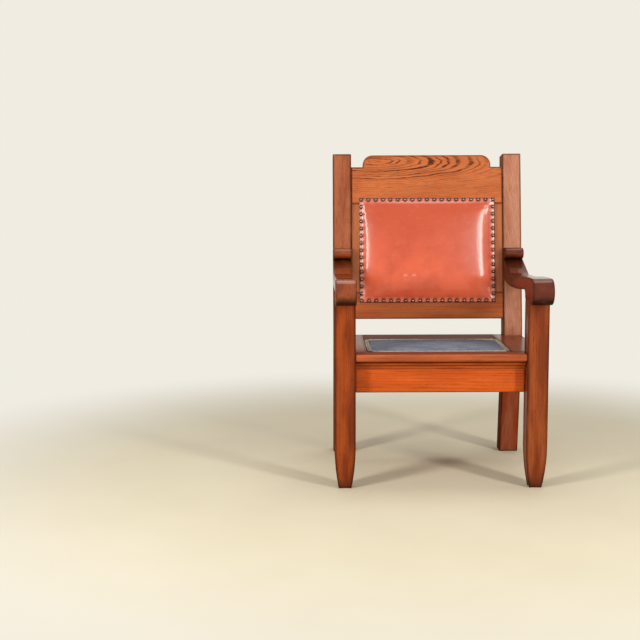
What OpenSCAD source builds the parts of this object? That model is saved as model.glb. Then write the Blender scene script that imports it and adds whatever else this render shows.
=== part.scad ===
// Library armchair in oak: square legs, raked sawn posts, scroll arms, a nailed leather back
// and an inset cloth seat pad. Millimetres, Z up, the sitter faces -Y.
// Pieces are drawn with Y = 0 on the front faces of the front legs and then moved together,
// so that the origin lies on the floor under the middle of the whole chair.

/* [Overall] */
// Height of the rear posts, at the front edge of their tops
chair_h = 1067; // [980:1:1140]
// Width over the outer faces of the front legs
chair_w = 672; // [620:1:720]
// Height of the top of the seat boards
seat_h = 430; // [410:1:460]
// Front of the front legs to the front of the rear posts, at seat height
seat_run = 461; // [430:1:500]

/* [Front legs] */
// Width of a front leg
leg_w = 67; // [60:1:80]
// Depth of a front leg
leg_d = 64; // [58:1:72]
// Rounding of the upright edges of a front leg
leg_edge_r = 4; // [2:0.5:8]
// Height at which a front leg starts to taper
taper_h = 142; // [100:1:180]
// How far each side of a foot is drawn in by the taper
taper_in = 13.2; // [6:0.1:18]
// Height of the front legs up to the underside of the arms
leg_h = 600; // [570:1:630]
// Side of the square tenon on top of a front leg
leg_tenon = 34; // [26:1:38]
// Length of the tenon on top of a front leg
leg_tenon_h = 28; // [20:1:34]

/* [Rear posts] */
// Width of a rear post
post_w = 65; // [58:1:70]
// Depth of a rear post, square to its front face
post_d = 64; // [56:1:70]
// How far the posts' outer faces stand in from those of the front legs
post_inset = 3.5; // [0:0.5:8]
// Backward lean of the posts above the seat, in degrees
rake_up = 9; // [6:0.25:12]
// Backward lean of the posts below the seat, in degrees
rake_low = 8.65; // [5:0.05:11]
// Radius of the front of a post where its two leans meet
knee_r = 304; // [200:1:400]

/* [Arms] */
// Width of an arm
arm_w = 66; // [58:1:76]
// How far the arms' outer faces stand in from those of the front legs
arm_inset = 2; // [0:0.5:5]
// Thickness of the level part of an arm
arm_t = 41.5; // [34:0.5:48]
// Radius of the roll at the front of an arm
roll_r = 41; // [36:0.5:46]
// How far the centre of the front roll stands in front of the legs
roll_out = 43; // [36:0.5:50]
// Height of the front roll's centre above the top of the leg
roll_up = 30.4; // [26:0.1:34]
// Fall of an arm's top from the roll to its lowest point
arm_dip = 17; // [8:0.5:24]
// Distance of the arm's lowest point behind the front of the legs
dip_y = 345; // [320:1:360]
// Slope of the ramp that rises to the post, in degrees
ramp_a = 19; // [14:0.5:24]
// Radius of the bend between the level part and the ramp
ramp_r = 90; // [60:1:120]
// Rise of an arm's underside from its lowest point to the post
under_lift = 16; // [8:0.5:24]
// Radius of the small roll at the rear of an arm
rear_roll_r = 19; // [16:0.5:22]
// How far the rear roll stands in front of the post
rear_roll_out = 41; // [36:0.5:48]
// Height of the rear roll's centre above the top of the front leg
rear_roll_up = 118; // [110:1:130]
// Thickness of the throat below the rear roll
throat_t = 12; // [9:0.5:15]
// Radius of the fillet between an arm's underside and the back of the leg
arm_fillet_r = 18; // [10:0.5:24]

/* [Back frame] */
// How far the back frame's face lies behind the front of the posts
back_set = 5; // [2:0.5:10]
// Thickness of the crest rail, stiles and lower rail
frame_t = 24; // [20:0.5:28]
// Distance of the crest rail's top below the top of the posts
crest_drop = 4; // [0:0.5:20]
// Height of the crest rail in its raised middle
crest_h = 172; // [150:1:190]
// Rise of the crest rail's middle above its shoulders
crest_rise = 42; // [38:1:60]
// Width of the flat shoulder beside each post
shoulder_w = 41; // [25:1:60]
// Radius of the crest rail's top corners
crest_corner_r = 35; // [20:1:37]
// Open gap between the seat boards and the lower back rail
back_gap = 61; // [45:1:80]
// Height of the lower back rail
low_rail_h = 92; // [80:1:100]
// Width of a back stile
stile_w = 52; // [48:1:60]
// Thickness of the back frame's tenons
tenon_t = 10; // [8:0.5:12]
// Length of the tenons of the crest and lower rails
rail_tenon = 24; // [16:1:28]
// Length of the tenons of the stiles
stile_tenon = 14; // [10:1:18]
// Depth of the rabbet that takes the back board, and the board's thickness
back_board_t = 10; // [8:0.5:12]
// Wood left between that rabbet and the row of nails above it
rabbet_wall = 2.5; // [1.5:0.5:5]

/* [Back upholstery] */
// Width of stile that shows beside the leather
leather_reveal = 28.5; // [24:0.5:32]
// Lap of the leather on the crest rail
leather_lap_up = 19; // [16:1:26]
// Lap of the leather on the lower rail
leather_lap_low = 35; // [30:1:50]
// Thickness of the leather
leather_t = 2; // [1.5:0.1:3]
// Height of the leather's crown over the back frame
back_crown = 32; // [16:1:44]
// Distance of the nail line from the leather's edge
nail_in = 6; // [5.5:0.5:8]
// Spacing of the nails, measured centre to centre
nail_pitch = 25.4; // [20:0.2:32]
// Diameter of a nail's domed head
nail_head_d = 12.5; // [9:0.5:13]
// Height of a nail's domed head
nail_head_h = 4; // [2.5:0.25:5]
// Length of a nail's square shank under the head
nail_len = 14; // [10:1:18]

/* [Seat frame] */
// Height of the apron and the seat rails
rail_h = 103; // [95:1:120]
// Thickness of the front apron
apron_t = 18; // [16:0.5:22]
// Thickness of the side rails and the rear rail
rail_t = 22; // [18:0.5:26]
// How far the side rails stand in from the posts' outer faces
side_rail_inset = 8; // [2:0.5:14]
// Length of each short side of a corner block
block_side = 60; // [50:1:70]
// Height of a corner block
block_h = 56; // [50:1:60]
// Gap between the corner blocks and the cleats above them
block_drop = 4; // [1:1:8]
// Diameter of the dowels in the seat rails
dowel_d = 9; // [8:0.5:10]
// Length of those dowels
dowel_len = 48; // [40:1:56]

/* [Seat boards] */
// Thickness of the seat boards
board_t = 24; // [20:0.5:28]
// How far the front board's nose lies behind the front of the legs
nose_set = 4; // [0:0.5:10]
// Radius of the nose's upper and lower roundings
nose_r = 10; // [6:0.5:10]
// Seat board that shows in front of the pad, behind the legs' back faces
front_margin = 8; // [4:1:20]
// Seat board that shows beside the pad, inside the front legs
side_margin = 39; // [20:1:50]
// Depth of the seat's back board
back_board_d = 133; // [100:1:150]
// How far the seat reaches behind the front of the posts
seat_behind = 39; // [30:1:46]
// How far the side boards stand in from the front legs' outer faces
side_edge = 6; // [4:0.5:10]
// Height of the moulding under the front board
mould_h = 27; // [24:0.5:32]
// How far the moulding's bead stands in front of the apron
mould_out = 17.5; // [14:0.5:22]
// Radius of that bead
bead_r = 4.5; // [3:0.25:5.5]
// Height of the groove above the bead
groove_h = 4.5; // [2:0.5:6]
// Height of the flat band below the bead
fascia_h = 11; // [6:0.5:12]
// How far that band stands in front of the apron
fascia_out = 4; // [2:0.5:8]

/* [Seat pad] */
// Gap between the pad and the boards around it
pad_gap = 1.5; // [1:0.25:3]
// Thickness of the seat panel
panel_t = 22; // [16:0.5:24]
// Thickness of the seat cloth
cloth_t = 1.5; // [1:0.1:2]
// Height of the seat pad's crown over its flat edge
seat_crown = 10; // [6:0.5:16]
// Width of the braid round the pad
gimp_w = 13; // [10:0.5:16]
// Thickness of the braid
gimp_t = 2.5; // [1.5:0.25:3.5]
// Rounding of the pad's corners
pad_r = 26; // [18:1:34]
// Spacing of the small nails in the braid
seat_nail_pitch = 25.4; // [20:0.2:32]
// Diameter of a small nail's head
seat_nail_d = 6; // [4:0.5:7]
// Height of a small nail's head
seat_nail_h = 2; // [1:0.5:3]
// Length of a small nail's shank
seat_nail_len = 12; // [8:1:16]
// Width of the ledge that each cleat gives the panel
ledge_w = 12; // [8:0.5:16]
// Height of the cleats
cleat_h = 18; // [14:0.5:20]
// Width of a cleat under its board
cleat_grip = 20; // [16:0.5:24]

/* [Fastenings] */
// Diameter of the wood screws in the blocks and cleats
screw_d = 4; // [3:0.5:5]
// Length of the screws in the corner blocks
block_screw_len = 44; // [38:1:48]
// Length of the screws in the cleats
cleat_screw_len = 30; // [26:1:34]
// Diameter of the screws that hold the arms to the posts
arm_screw_d = 5; // [4:0.5:6]
// Length of those screws
arm_screw_len = 80; // [74:1:86]
// Diameter of the wooden plugs over them
plug_d = 12; // [10:0.5:14]
// Depth of the plugs
plug_h = 8; // [6:0.5:10]
// Height of the lower arm screw above the front leg's top
arm_screw_z = 38; // [34:1:44]
// Distance between the two screws of an arm
arm_screw_pitch = 26; // [20:1:30]
// Room round every dowel, tenon, screw and nail shank
joint_gap = 0.1; // [0.05:0.05:0.3]
// Room between stuffing and what lies over it
soft_gap = 0.3; // [0.2:0.1:1]

/* [Hidden] */
$fn = 48;
OAK = "#9c4a22";
OAK_LIGHT = "#b9602d";
BARE = "#c79a66";
LEATHER = "#c4553c";
CLOTH = "#5f7690";
BRAID = "#a8a294";
HAIR = "#6b5540";
BRONZE = "#3a2a1e";
BRASS = "#b08d45";
STEEL = "#8d8f92";

// Across the chair
half_w = chair_w / 2;
leg_in = half_w - leg_w;
leg_mid = half_w - leg_w / 2;
post_out = half_w - post_inset;
post_in = post_out - post_w;
arm_in = half_w - arm_inset - arm_w;
rail_out = post_out - side_rail_inset;
rail_mid = rail_out - rail_t / 2;
rail_in = rail_out - rail_t;
pad_x = leg_in - side_margin;

// Up and down
board_z = seat_h - board_t;
rail_z = board_z - rail_h;

// Front to back
apron_y = leg_d - apron_t;
pad_y0 = leg_d + front_margin;
seat_back = seat_run + seat_behind;
pad_y1 = seat_back - back_board_d;

// Side outline of a post: its front follows two leaning lines joined by an arc
function post_front(z) = z > seat_h
    ? seat_run + (z - seat_h) * tan(rake_up)
    : seat_run + (seat_h - z) * tan(rake_low);
function arc(c, r, a0, a1, n) =
    [for (i = [0:n]) let (a = a0 + (a1 - a0) * i / n) c + r * [cos(a), sin(a)]];
ARC_STEPS = 8;
bend = rake_up + rake_low;
knee_c = [seat_run + knee_r * (sin(rake_up) + sin(rake_low)) / sin(bend),
          seat_h + knee_r * (cos(rake_up) - cos(rake_low)) / sin(bend)];
post_top = [post_front(chair_h), chair_h];
post_back_top = post_top + post_d * [cos(rake_up), -sin(rake_up)];
post_outline = concat(
    [[post_front(0), 0]],
    arc(knee_c, knee_r, 180 + rake_low, 180 - rake_up, ARC_STEPS),
    [post_top, post_back_top],
    arc(knee_c, knee_r - post_d, 180 - rake_up, 180 + rake_low, ARC_STEPS),
    [[post_front(0) + post_d / cos(rake_low), 0]]);

// Side outline of an arm between its two rolls, in arcs that run into each other
roll_c = [-roll_out, leg_h + roll_up];
dip_top = roll_c[1] + roll_r - arm_dip;
half_run = (dip_y + roll_out) / 2;
sway_r = (half_run * half_run + arm_dip * arm_dip / 4) / arm_dip;
sway_a = asin(half_run / sway_r);
crest_c = [roll_c[0], roll_c[1] + roll_r - sway_r];
dip_c = [dip_y, dip_top + sway_r];
drop = [0, arm_t];
fillet_y = leg_d + arm_fillet_r;
fillet_a = 90 - asin((fillet_y + roll_out) / sway_r);
under_end = dip_top - arm_t + under_lift;
under_run = post_front(under_end) - dip_y;
under_r = (under_run * under_run + under_lift * under_lift) / (2 * under_lift);
under_a = asin(under_run / under_r);
fillet_c = [fillet_y, crest_c[1] + sway_r * sin(fillet_a) - arm_t - arm_fillet_r];
ramp_c = [dip_y, dip_top + ramp_r];
ramp_foot = ramp_c + ramp_r * [sin(ramp_a), -cos(ramp_a)];
rear_c = [post_front(leg_h + rear_roll_up) - rear_roll_out + rear_roll_r, leg_h + rear_roll_up];
throat_y = post_front(leg_h + rear_roll_up - rear_roll_r) - throat_t;
ramp_top = [throat_y, ramp_foot[1] + (throat_y - ramp_foot[0]) * tan(ramp_a)];
rear_top = rear_c[1] + rear_roll_r;
throat_a = 360 - acos((throat_y - rear_c[0]) / rear_roll_r);
roll_foot_a = 360 - asin(roll_up / roll_r);
arm_body = concat(
    [[leg_d, leg_h]],
    arc(fillet_c, arm_fillet_r, 180, 90, ARC_STEPS),
    arc(crest_c - drop, sway_r, fillet_a, 90 - sway_a, ARC_STEPS),
    arc(dip_c - drop, sway_r, 270 - sway_a, 270, ARC_STEPS),
    arc([dip_y, dip_top - arm_t + under_r], under_r, 270, 270 + under_a, ARC_STEPS),
    [[post_front(rear_top), rear_top], [rear_c[0], rear_top], rear_c],
    [rear_c + rear_roll_r * [cos(throat_a), sin(throat_a)], ramp_top],
    arc(ramp_c, ramp_r, 270 + ramp_a, 270, ARC_STEPS),
    arc(dip_c, sway_r, 270, 270 - sway_a, ARC_STEPS),
    arc(crest_c, sway_r, 90 - sway_a, 90, ARC_STEPS),
    [roll_c, roll_c + roll_r * [cos(roll_foot_a), sin(roll_foot_a)]]);
module arm_outline() {
    polygon(arm_body);
    translate(roll_c) circle(roll_r, $fn = 96);
    translate(rear_c) circle(rear_roll_r, $fn = 96);
}

// The back frame, in its own leaning plane: heights from the seat, depths from the posts' front
frame_back = back_set + frame_t;
top_s = (chair_h - seat_h) / cos(rake_up) - crest_drop;
crest_s = top_s - crest_h;
low_top = back_gap + low_rail_h;
stile_in = post_in - stile_w;
tenon_y = back_set + (frame_t - back_board_t - tenon_t) / 2;
TENON_SHOULDER = 12;
crest_tenon_h = crest_h - crest_rise - 2 * TENON_SHOULDER;
low_tenon_h = low_rail_h - 2 * TENON_SHOULDER;
rabbet_w = leather_lap_up - nail_in - rabbet_wall;
stile_tenon_w = stile_w - rabbet_w - TENON_SHOULDER;

// The leather and its nails
leather_x = post_in - leather_reveal;
leather_s0 = low_top - leather_lap_low;
leather_s1 = crest_s + leather_lap_up;
leather_mid = (leather_s0 + leather_s1) / 2;
nail_x = leather_x - nail_in;
nail_s = (leather_s1 - leather_s0) / 2 - nail_in;
nails_across = round(2 * nail_x / nail_pitch);
nails_up = round(2 * nail_s / nail_pitch);
SHANK = 1.8;
field_in = nail_head_d / 2 + joint_gap;
field_x = nail_x - field_in;
field_s = nail_s - field_in;

// The seat pad and its nails
panel_top = board_z + panel_t;
panel_x = pad_x - pad_gap;
panel_y0 = pad_y0 + pad_gap;
panel_y1 = pad_y1 - pad_gap;
pad_mid = (panel_y0 + panel_y1) / 2;
pad_half = (panel_y1 - panel_y0) / 2;
snail_in = gimp_w / 2;
snail_x = panel_x - snail_in;
snail_y = pad_half - snail_in;
snails_across = round(2 * snail_x / seat_nail_pitch);
snails_deep = round(2 * snail_y / seat_nail_pitch);
corner_in = 1 - sin(45);
snail_corner = (pad_r - snail_in) * corner_in;
cloth_in = max(snail_in + SHANK, pad_r * corner_in + 1);
swell_in = gimp_w + (pad_r - gimp_w) * corner_in;

// The origin lies under the middle of the chair's depth
mid_y = (post_back_top[0] - roll_out - roll_r) / 2;

// Placing and drawing helpers
module place() translate([0, -mid_y, 0]) children();
module left() mirror([1, 0, 0]) children();
module both() { children(); left() children(); }
// Sawn from the side: an outline in depth and height, w wide from x
module sawn(x, w) translate([x, 0, 0]) rotate([90, 0, 90]) linear_extrude(w) children();
// Cut from a board seen from the front: an outline in width and height between two depths
module facing(y0, y1) translate([0, y1, 0]) rotate([90, 0, 0]) linear_extrude(y1 - y0) children();
// Between two corners
module block(a, b) translate(a) cube(b - a);
// The leaning plane of the back
module leaning() translate([0, seat_run, seat_h]) rotate([-rake_up, 0, 0]) children();
module rounded_rect(w, d, r) {
    square([w - 2 * r, d], center = true);
    square([w, d - 2 * r], center = true);
    for (x = [-1, 1], y = [-1, 1]) translate([x * (w / 2 - r), y * (d / 2 - r)]) circle(r);
}

// A crowned sheet or pad over a rectangle: a grid whose lines crowd towards the edges
function swell(u) = abs(u) >= 1 ? 0 : pow(1 - pow(u, 4), 0.5);
function crowd(n, half) = [for (i = [-n:n]) half * sin(90 * i / n)];
function crown_at(x, y, fx, fy, h) = h * swell(x / fx) * swell(y / fy);
module crowned(xs, ys, fx, fy, h, lift, base) {
    nx = len(xs);
    ny = len(ys);
    count = nx * ny;
    function top(i, j) = i * ny + j;
    function low(i, j) = count + i * ny + j;
    points = concat(
        [for (x = xs, y = ys) [x, y, lift + crown_at(x, y, fx, fy, h)]],
        [for (x = xs, y = ys) [x, y, is_undef(base) ? crown_at(x, y, fx, fy, h) : base]]);
    faces = concat(
        [for (i = [0:nx - 2], j = [0:ny - 2]) each [
            [top(i, j), top(i, j + 1), top(i + 1, j + 1)],
            [top(i, j), top(i + 1, j + 1), top(i + 1, j)],
            [low(i, j), low(i + 1, j + 1), low(i, j + 1)],
            [low(i, j), low(i + 1, j), low(i + 1, j + 1)]]],
        [for (i = [0:nx - 2]) each [
            [top(i, 0), top(i + 1, 0), low(i + 1, 0)],
            [top(i, 0), low(i + 1, 0), low(i, 0)],
            [top(i, ny - 1), low(i + 1, ny - 1), top(i + 1, ny - 1)],
            [top(i, ny - 1), low(i, ny - 1), low(i + 1, ny - 1)]]],
        [for (j = [0:ny - 2]) each [
            [top(0, j + 1), top(0, j), low(0, j)],
            [top(0, j + 1), low(0, j), low(0, j + 1)],
            [top(nx - 1, j + 1), low(nx - 1, j), top(nx - 1, j)],
            [top(nx - 1, j + 1), low(nx - 1, j + 1), low(nx - 1, j)]]]);
    polyhedron(points = points, faces = faces);
}

// Fastenings: each stands on its own axis, with the head at 0 and the shank going down
module screw(d, len, gap = 0) {
    rotate_extrude() polygon([
        [0, gap], [d + gap, gap], [d / 2 + gap, -d / 2], [d / 2 + gap, -len - gap], [0, -len - gap]]);
}
module square_shank(len, gap = 0) {
    w = SHANK + 2 * gap;
    translate([-w / 2, -w / 2, -len - gap]) cube([w, w, len + 2 * gap]);
}
module domed_nail(head_d, head_h, len) {
    DOME_STEPS = 3;
    r = head_d / 2;
    rotate_extrude() polygon(concat([[0, 0]],
        [for (i = [0:DOME_STEPS]) let (a = 90 * i / DOME_STEPS) [r * cos(a), head_h * sin(a)]]));
    square_shank(len);
}
// Copies round a rectangle of half sizes hx and hy, nx and ny spaces along its sides, with the
// corner ones drawn in by the given amount
module round_rectangle(hx, hy, nx, ny, drawn_in = 0) {
    for (x = [-1, 1], y = [-1, 1]) translate([x * (hx - drawn_in), y * (hy - drawn_in)]) children();
    for (i = [1:nx - 1], side = [-1, 1]) translate([-hx + 2 * hx * i / nx, side * hy]) children();
    for (j = [1:ny - 1], side = [-1, 1]) translate([side * hx, -hy + 2 * hy * j / ny]) children();
}

// Dowels: two at each end of the apron, the side rails and the rear rail
DOWEL_Z = [0.27, 0.73];
rear_rail_y = seat_back - rail_t;
module dowel(gap = 0) {
    cylinder(d = dowel_d + 2 * gap, h = dowel_len + 2 * gap, center = true);
}
module right_dowels(gap = 0) {
    for (f = DOWEL_Z) let (z = rail_z + f * rail_h) {
        translate([leg_in, leg_d - apron_t / 2, z]) rotate([0, 90, 0]) dowel(gap);
        translate([rail_mid, leg_d, z]) rotate([90, 0, 0]) dowel(gap);
        translate([rail_mid, post_front(z), z]) rotate([90, 0, 0]) dowel(gap);
        translate([post_in, rear_rail_y + rail_t / 2, z]) rotate([0, 90, 0]) dowel(gap);
    }
}
module dowel_holes() both() right_dowels(joint_gap);

// Front legs
module leg_taper_side(w) {
    r = (taper_h * taper_h + taper_in * taper_in) / (2 * taper_in);
    a = asin(taper_h / r);
    side = arc([w / 2 - r, taper_h], r, -a, 0, ARC_STEPS);
    polygon(concat(side, [[w / 2, leg_h], [-w / 2, leg_h]],
        [for (i = [ARC_STEPS:-1:0]) [-side[i][0], side[i][1]]]));
}
module leg_tenon_at(gap = 0) {
    w = leg_tenon + 2 * gap;
    translate([leg_mid - w / 2, leg_d / 2 - w / 2, leg_h - 1]) cube([w, w, leg_tenon_h + 1 + gap]);
}
module front_leg() difference() {
    union() {
        translate([leg_mid, leg_d / 2, 0]) intersection() {
            linear_extrude(leg_h) rounded_rect(leg_w, leg_d, leg_edge_r);
            facing(-leg_d, leg_d) leg_taper_side(leg_w);
            sawn(-leg_w, 2 * leg_w) leg_taper_side(leg_d);
        }
        leg_tenon_at();
    }
    right_dowels(joint_gap);
    right_block_screws(joint_gap);
}
module front_leg_left() color(OAK) place() left() front_leg();
module front_leg_right() color(OAK) place() front_leg();

// Rear posts
module post_blank(x, w) sawn(x, w) polygon(post_outline);
module rear_post() difference() {
    post_blank(post_in, post_w);
    leaning() crest_tenons(joint_gap);
    leaning() low_tenons(joint_gap);
    right_dowels(joint_gap);
    right_block_screws(joint_gap);
    right_arm_screws(joint_gap);
    right_plugs(joint_gap);
}
module rear_post_left() color(OAK) place() left() rear_post();
module rear_post_right() color(OAK) place() rear_post();

// Arms, held to the posts by two plugged screws each
module at_arm_screws() {
    for (i = [0, 1]) {
        s = (leg_h + arm_screw_z - seat_h) / cos(rake_up) + i * arm_screw_pitch;
        leaning() translate([leg_mid, post_d, s]) rotate([-90, 0, 0]) children();
    }
}
module right_arm_screws(gap = 0) {
    at_arm_screws() translate([0, 0, -plug_h]) screw(arm_screw_d, arm_screw_len, gap);
}
module right_plugs(gap = 0) {
    at_arm_screws() translate([0, 0, -plug_h - gap]) cylinder(d = plug_d + 2 * gap, h = plug_h + 2 * gap);
}
module arm() difference() {
    sawn(arm_in, arm_w) arm_outline();
    leg_tenon_at(joint_gap);
    right_arm_screws(joint_gap);
}
module arm_left() color(OAK) place() left() arm();
module arm_right() color(OAK) place() arm();
module arm_screws() color(STEEL) place() both() right_arm_screws();
module arm_screw_plugs() color(OAK) place() both() right_plugs();

// Crest rail, stiles and lower rail, tenoned together and into the posts
module through_tenon(x0, x1, s0, s1, gap) {
    block([x0 - gap, tenon_y - gap, s0 - gap], [x1 + gap, tenon_y + tenon_t + gap, s1 + gap]);
}
module crest_tenons(gap = 0) {
    reach = post_in + rail_tenon;
    s0 = crest_s + TENON_SHOULDER;
    through_tenon(-reach, reach, s0, s0 + crest_tenon_h, gap);
}
module low_tenons(gap = 0) {
    reach = post_in + rail_tenon;
    s0 = back_gap + TENON_SHOULDER;
    through_tenon(-reach, reach, s0, s0 + low_tenon_h, gap);
}
module stile_tenons(gap = 0) {
    x0 = stile_in + rabbet_w;
    through_tenon(x0, x0 + stile_tenon_w, low_top - stile_tenon, crest_s + stile_tenon, gap);
}
module crest_outline() {
    x = post_in - shoulder_w;
    translate([-post_in, crest_s]) square([2 * post_in, crest_h - crest_rise]);
    translate([-x, crest_s]) square([2 * x, crest_h - crest_corner_r]);
    translate([crest_corner_r - x, crest_s]) square([2 * (x - crest_corner_r), crest_h]);
    for (side = [-1, 1])
        translate([side * (x - crest_corner_r), top_s - crest_corner_r]) circle(crest_corner_r, $fn = 96);
}
module board_space(gap = 0) {
    block([-stile_in - rabbet_w - gap, frame_back - back_board_t, low_top - rabbet_w - gap],
          [stile_in + rabbet_w + gap, frame_back + gap, crest_s + rabbet_w + gap]);
}
module at_front_nails() {
    translate([0, back_set - leather_t, leather_mid]) rotate([90, 0, 0])
        round_rectangle(nail_x, nail_s, nails_across, nails_up) children();
}
module at_rear_nails() {
    translate([0, frame_back + leather_t, leather_mid]) rotate([-90, 0, 0])
        round_rectangle(nail_x, nail_s, nails_across, nails_up) children();
}
rear_nail_len = frame_t + leather_t - nail_len;
module front_shanks(gap = 0) at_front_nails() square_shank(nail_len, gap);
module rear_shanks(gap = 0) at_rear_nails() square_shank(rear_nail_len, gap);
module crest_rail() color(OAK_LIGHT) place() leaning() difference() {
    union() {
        facing(back_set, frame_back) crest_outline();
        crest_tenons();
    }
    both() stile_tenons(joint_gap);
    board_space(joint_gap);
    front_shanks(joint_gap);
    rear_shanks(joint_gap);
}
module lower_back_rail() color(OAK_LIGHT) place() leaning() difference() {
    union() {
        block([-post_in, back_set, back_gap], [post_in, frame_back, low_top]);
        low_tenons();
    }
    both() stile_tenons(joint_gap);
    board_space(joint_gap);
    front_shanks(joint_gap);
    rear_shanks(joint_gap);
}
module back_stile() difference() {
    union() {
        block([stile_in, back_set, low_top], [post_in, frame_back, crest_s]);
        stile_tenons();
    }
    board_space(joint_gap);
    front_shanks(joint_gap);
    rear_shanks(joint_gap);
}
module back_stile_left() color(OAK_LIGHT) place() leaning() left() back_stile();
module back_stile_right() color(OAK_LIGHT) place() leaning() back_stile();

// Back board, stuffing and leather
module back_board() color(BARE) place() leaning() board_space();
PAD_ROWS = 6;
PAD_COLUMNS = 8;
back_grid_x = crowd(PAD_COLUMNS, field_x);
back_grid_s = crowd(PAD_ROWS, field_s);
function inner(grid) = [for (i = [1:len(grid) - 2]) grid[i]];
module back_stuffing() color(HAIR) place() leaning() {
    translate([0, back_set, leather_mid]) rotate([90, 0, 0])
        crowned(inner(back_grid_x), inner(back_grid_s), field_x, field_s, back_crown, -soft_gap, 0);
    block([soft_gap - stile_in, back_set - 1, low_top + soft_gap],
          [stile_in - soft_gap, frame_back - back_board_t, crest_s - soft_gap]);
}
module back_leather() color(LEATHER) place() leaning() difference() {
    edge_s = nail_s + nail_in;
    translate([0, back_set, leather_mid]) rotate([90, 0, 0])
        crowned(concat([-leather_x], back_grid_x, [leather_x]), concat([-edge_s], back_grid_s, [edge_s]),
                field_x, field_s, back_crown, leather_t);
    front_shanks(joint_gap);
}
module back_nails() color(BRONZE) place() leaning() {
    at_front_nails() domed_nail(nail_head_d, nail_head_h, nail_len);
}
module outside_back_leather() color(LEATHER) place() leaning() difference() {
    block([-leather_x, frame_back, leather_s0], [leather_x, frame_back + leather_t, leather_s1]);
    rear_shanks(joint_gap);
}
module outside_back_nails() color(BRONZE) place() leaning() {
    at_rear_nails() domed_nail(nail_head_d, nail_head_h, rear_nail_len);
}

// Apron and seat rails
module front_apron() color(OAK_LIGHT) place() difference() {
    block([-leg_in, apron_y, rail_z], [leg_in, leg_d, board_z]);
    dowel_holes();
    both() right_block_screws(joint_gap);
    front_cleat_screws(joint_gap);
}
module side_rail() difference() {
    block([rail_in, leg_d, rail_z], [rail_out, seat_back, board_z]);
    post_blank(post_in, post_w);
    right_dowels(joint_gap);
    right_block_screws(joint_gap);
}
module side_rail_left() color(OAK) place() left() side_rail();
module side_rail_right() color(OAK) place() side_rail();
module rear_rail() color(OAK) place() difference() {
    block([-post_in, rear_rail_y, rail_z], [post_in, seat_back, board_z]);
    dowel_holes();
    both() right_block_screws(joint_gap);
}
module rail_dowels() color(BARE) place() both() right_dowels();

// Corner blocks, glued and screwed into the four inner corners
block_top = board_z - cleat_h - block_drop;
BLOCK_SCREW_Z = [0.42, 0.58];
BLOCK_SCREW_SIDE = 0.42;
POCKET_WALL = 6;
module block_prism() {
    translate([0, 0, block_top - block_h])
        linear_extrude(block_h) polygon([[0, 0], [-block_side, 0], [0, block_side]]);
}
module at_front_corner() translate([rail_in, leg_d, 0]) children();
module at_rear_corner() translate([rail_in, rear_rail_y, 0]) mirror([0, 1, 0]) children();
module at_block_screws() {
    side = block_side * BLOCK_SCREW_SIDE;
    head = block_side - side - POCKET_WALL;
    translate([-side, head, rail_z + BLOCK_SCREW_Z[0] * rail_h]) rotate([-90, 0, 0]) children();
    translate([-head, side, rail_z + BLOCK_SCREW_Z[1] * rail_h]) rotate([0, -90, 0]) children();
}
module right_block_screws(gap = 0) {
    at_front_corner() at_block_screws() screw(screw_d, block_screw_len, gap);
    at_rear_corner() at_block_screws() screw(screw_d, block_screw_len, gap);
}
module screw_pockets() at_block_screws() cylinder(r = screw_d + 1, h = block_side);
module front_block() difference() {
    at_front_corner() block_prism();
    right_block_screws(joint_gap);
    at_front_corner() screw_pockets();
}
module rear_block() difference() {
    at_rear_corner() block_prism();
    post_blank(post_in, post_w);
    right_block_screws(joint_gap);
    at_rear_corner() screw_pockets();
}
module corner_block_front_left() color(BARE) place() left() front_block();
module corner_block_front_right() color(BARE) place() front_block();
module corner_block_rear_left() color(BARE) place() left() rear_block();
module corner_block_rear_right() color(BARE) place() rear_block();
module corner_block_screws() color(STEEL) place() both() right_block_screws();

// Seat boards and the moulding under the front board
module front_moulding() color(OAK_LIGHT) place() {
    bead = [apron_y - mould_out + bead_r, board_z - groove_h - bead_r];
    low = board_z - mould_h;
    face = apron_y - fascia_out;
    sawn(-leg_in, 2 * leg_in) polygon(concat(
        [[apron_y, low], [apron_y, board_z], [bead[0], board_z]],
        arc(bead, bead_r, 90, 270, ARC_STEPS),
        [[face, low + fascia_h], [face, low]]));
}
module seat_front_board() color(OAK_LIGHT) place() {
    c = nose_set + nose_r;
    sawn(-leg_in, 2 * leg_in) polygon(concat(
        [[pad_y0, board_z], [pad_y0, seat_h]],
        arc([c, seat_h - nose_r], nose_r, 90, 180, ARC_STEPS),
        arc([c, board_z + nose_r], nose_r, 180, 270, ARC_STEPS)));
}
module seat_side_board() difference() {
    block([pad_x, leg_d, board_z], [half_w - side_edge, seat_back, seat_h]);
    block([0, 0, board_z - 1], [leg_in, pad_y0, seat_h + 1]);
    post_blank(post_in, post_w);
    seat_board_screws(joint_gap);
}
module seat_side_board_left() color(OAK) place() left() seat_side_board();
module seat_side_board_right() color(OAK) place() seat_side_board();
module seat_back_board() color(OAK) place() difference() {
    block([-pad_x, pad_y1, board_z], [pad_x, seat_back, seat_h]);
    both() seat_board_screws(joint_gap);
}

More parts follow.
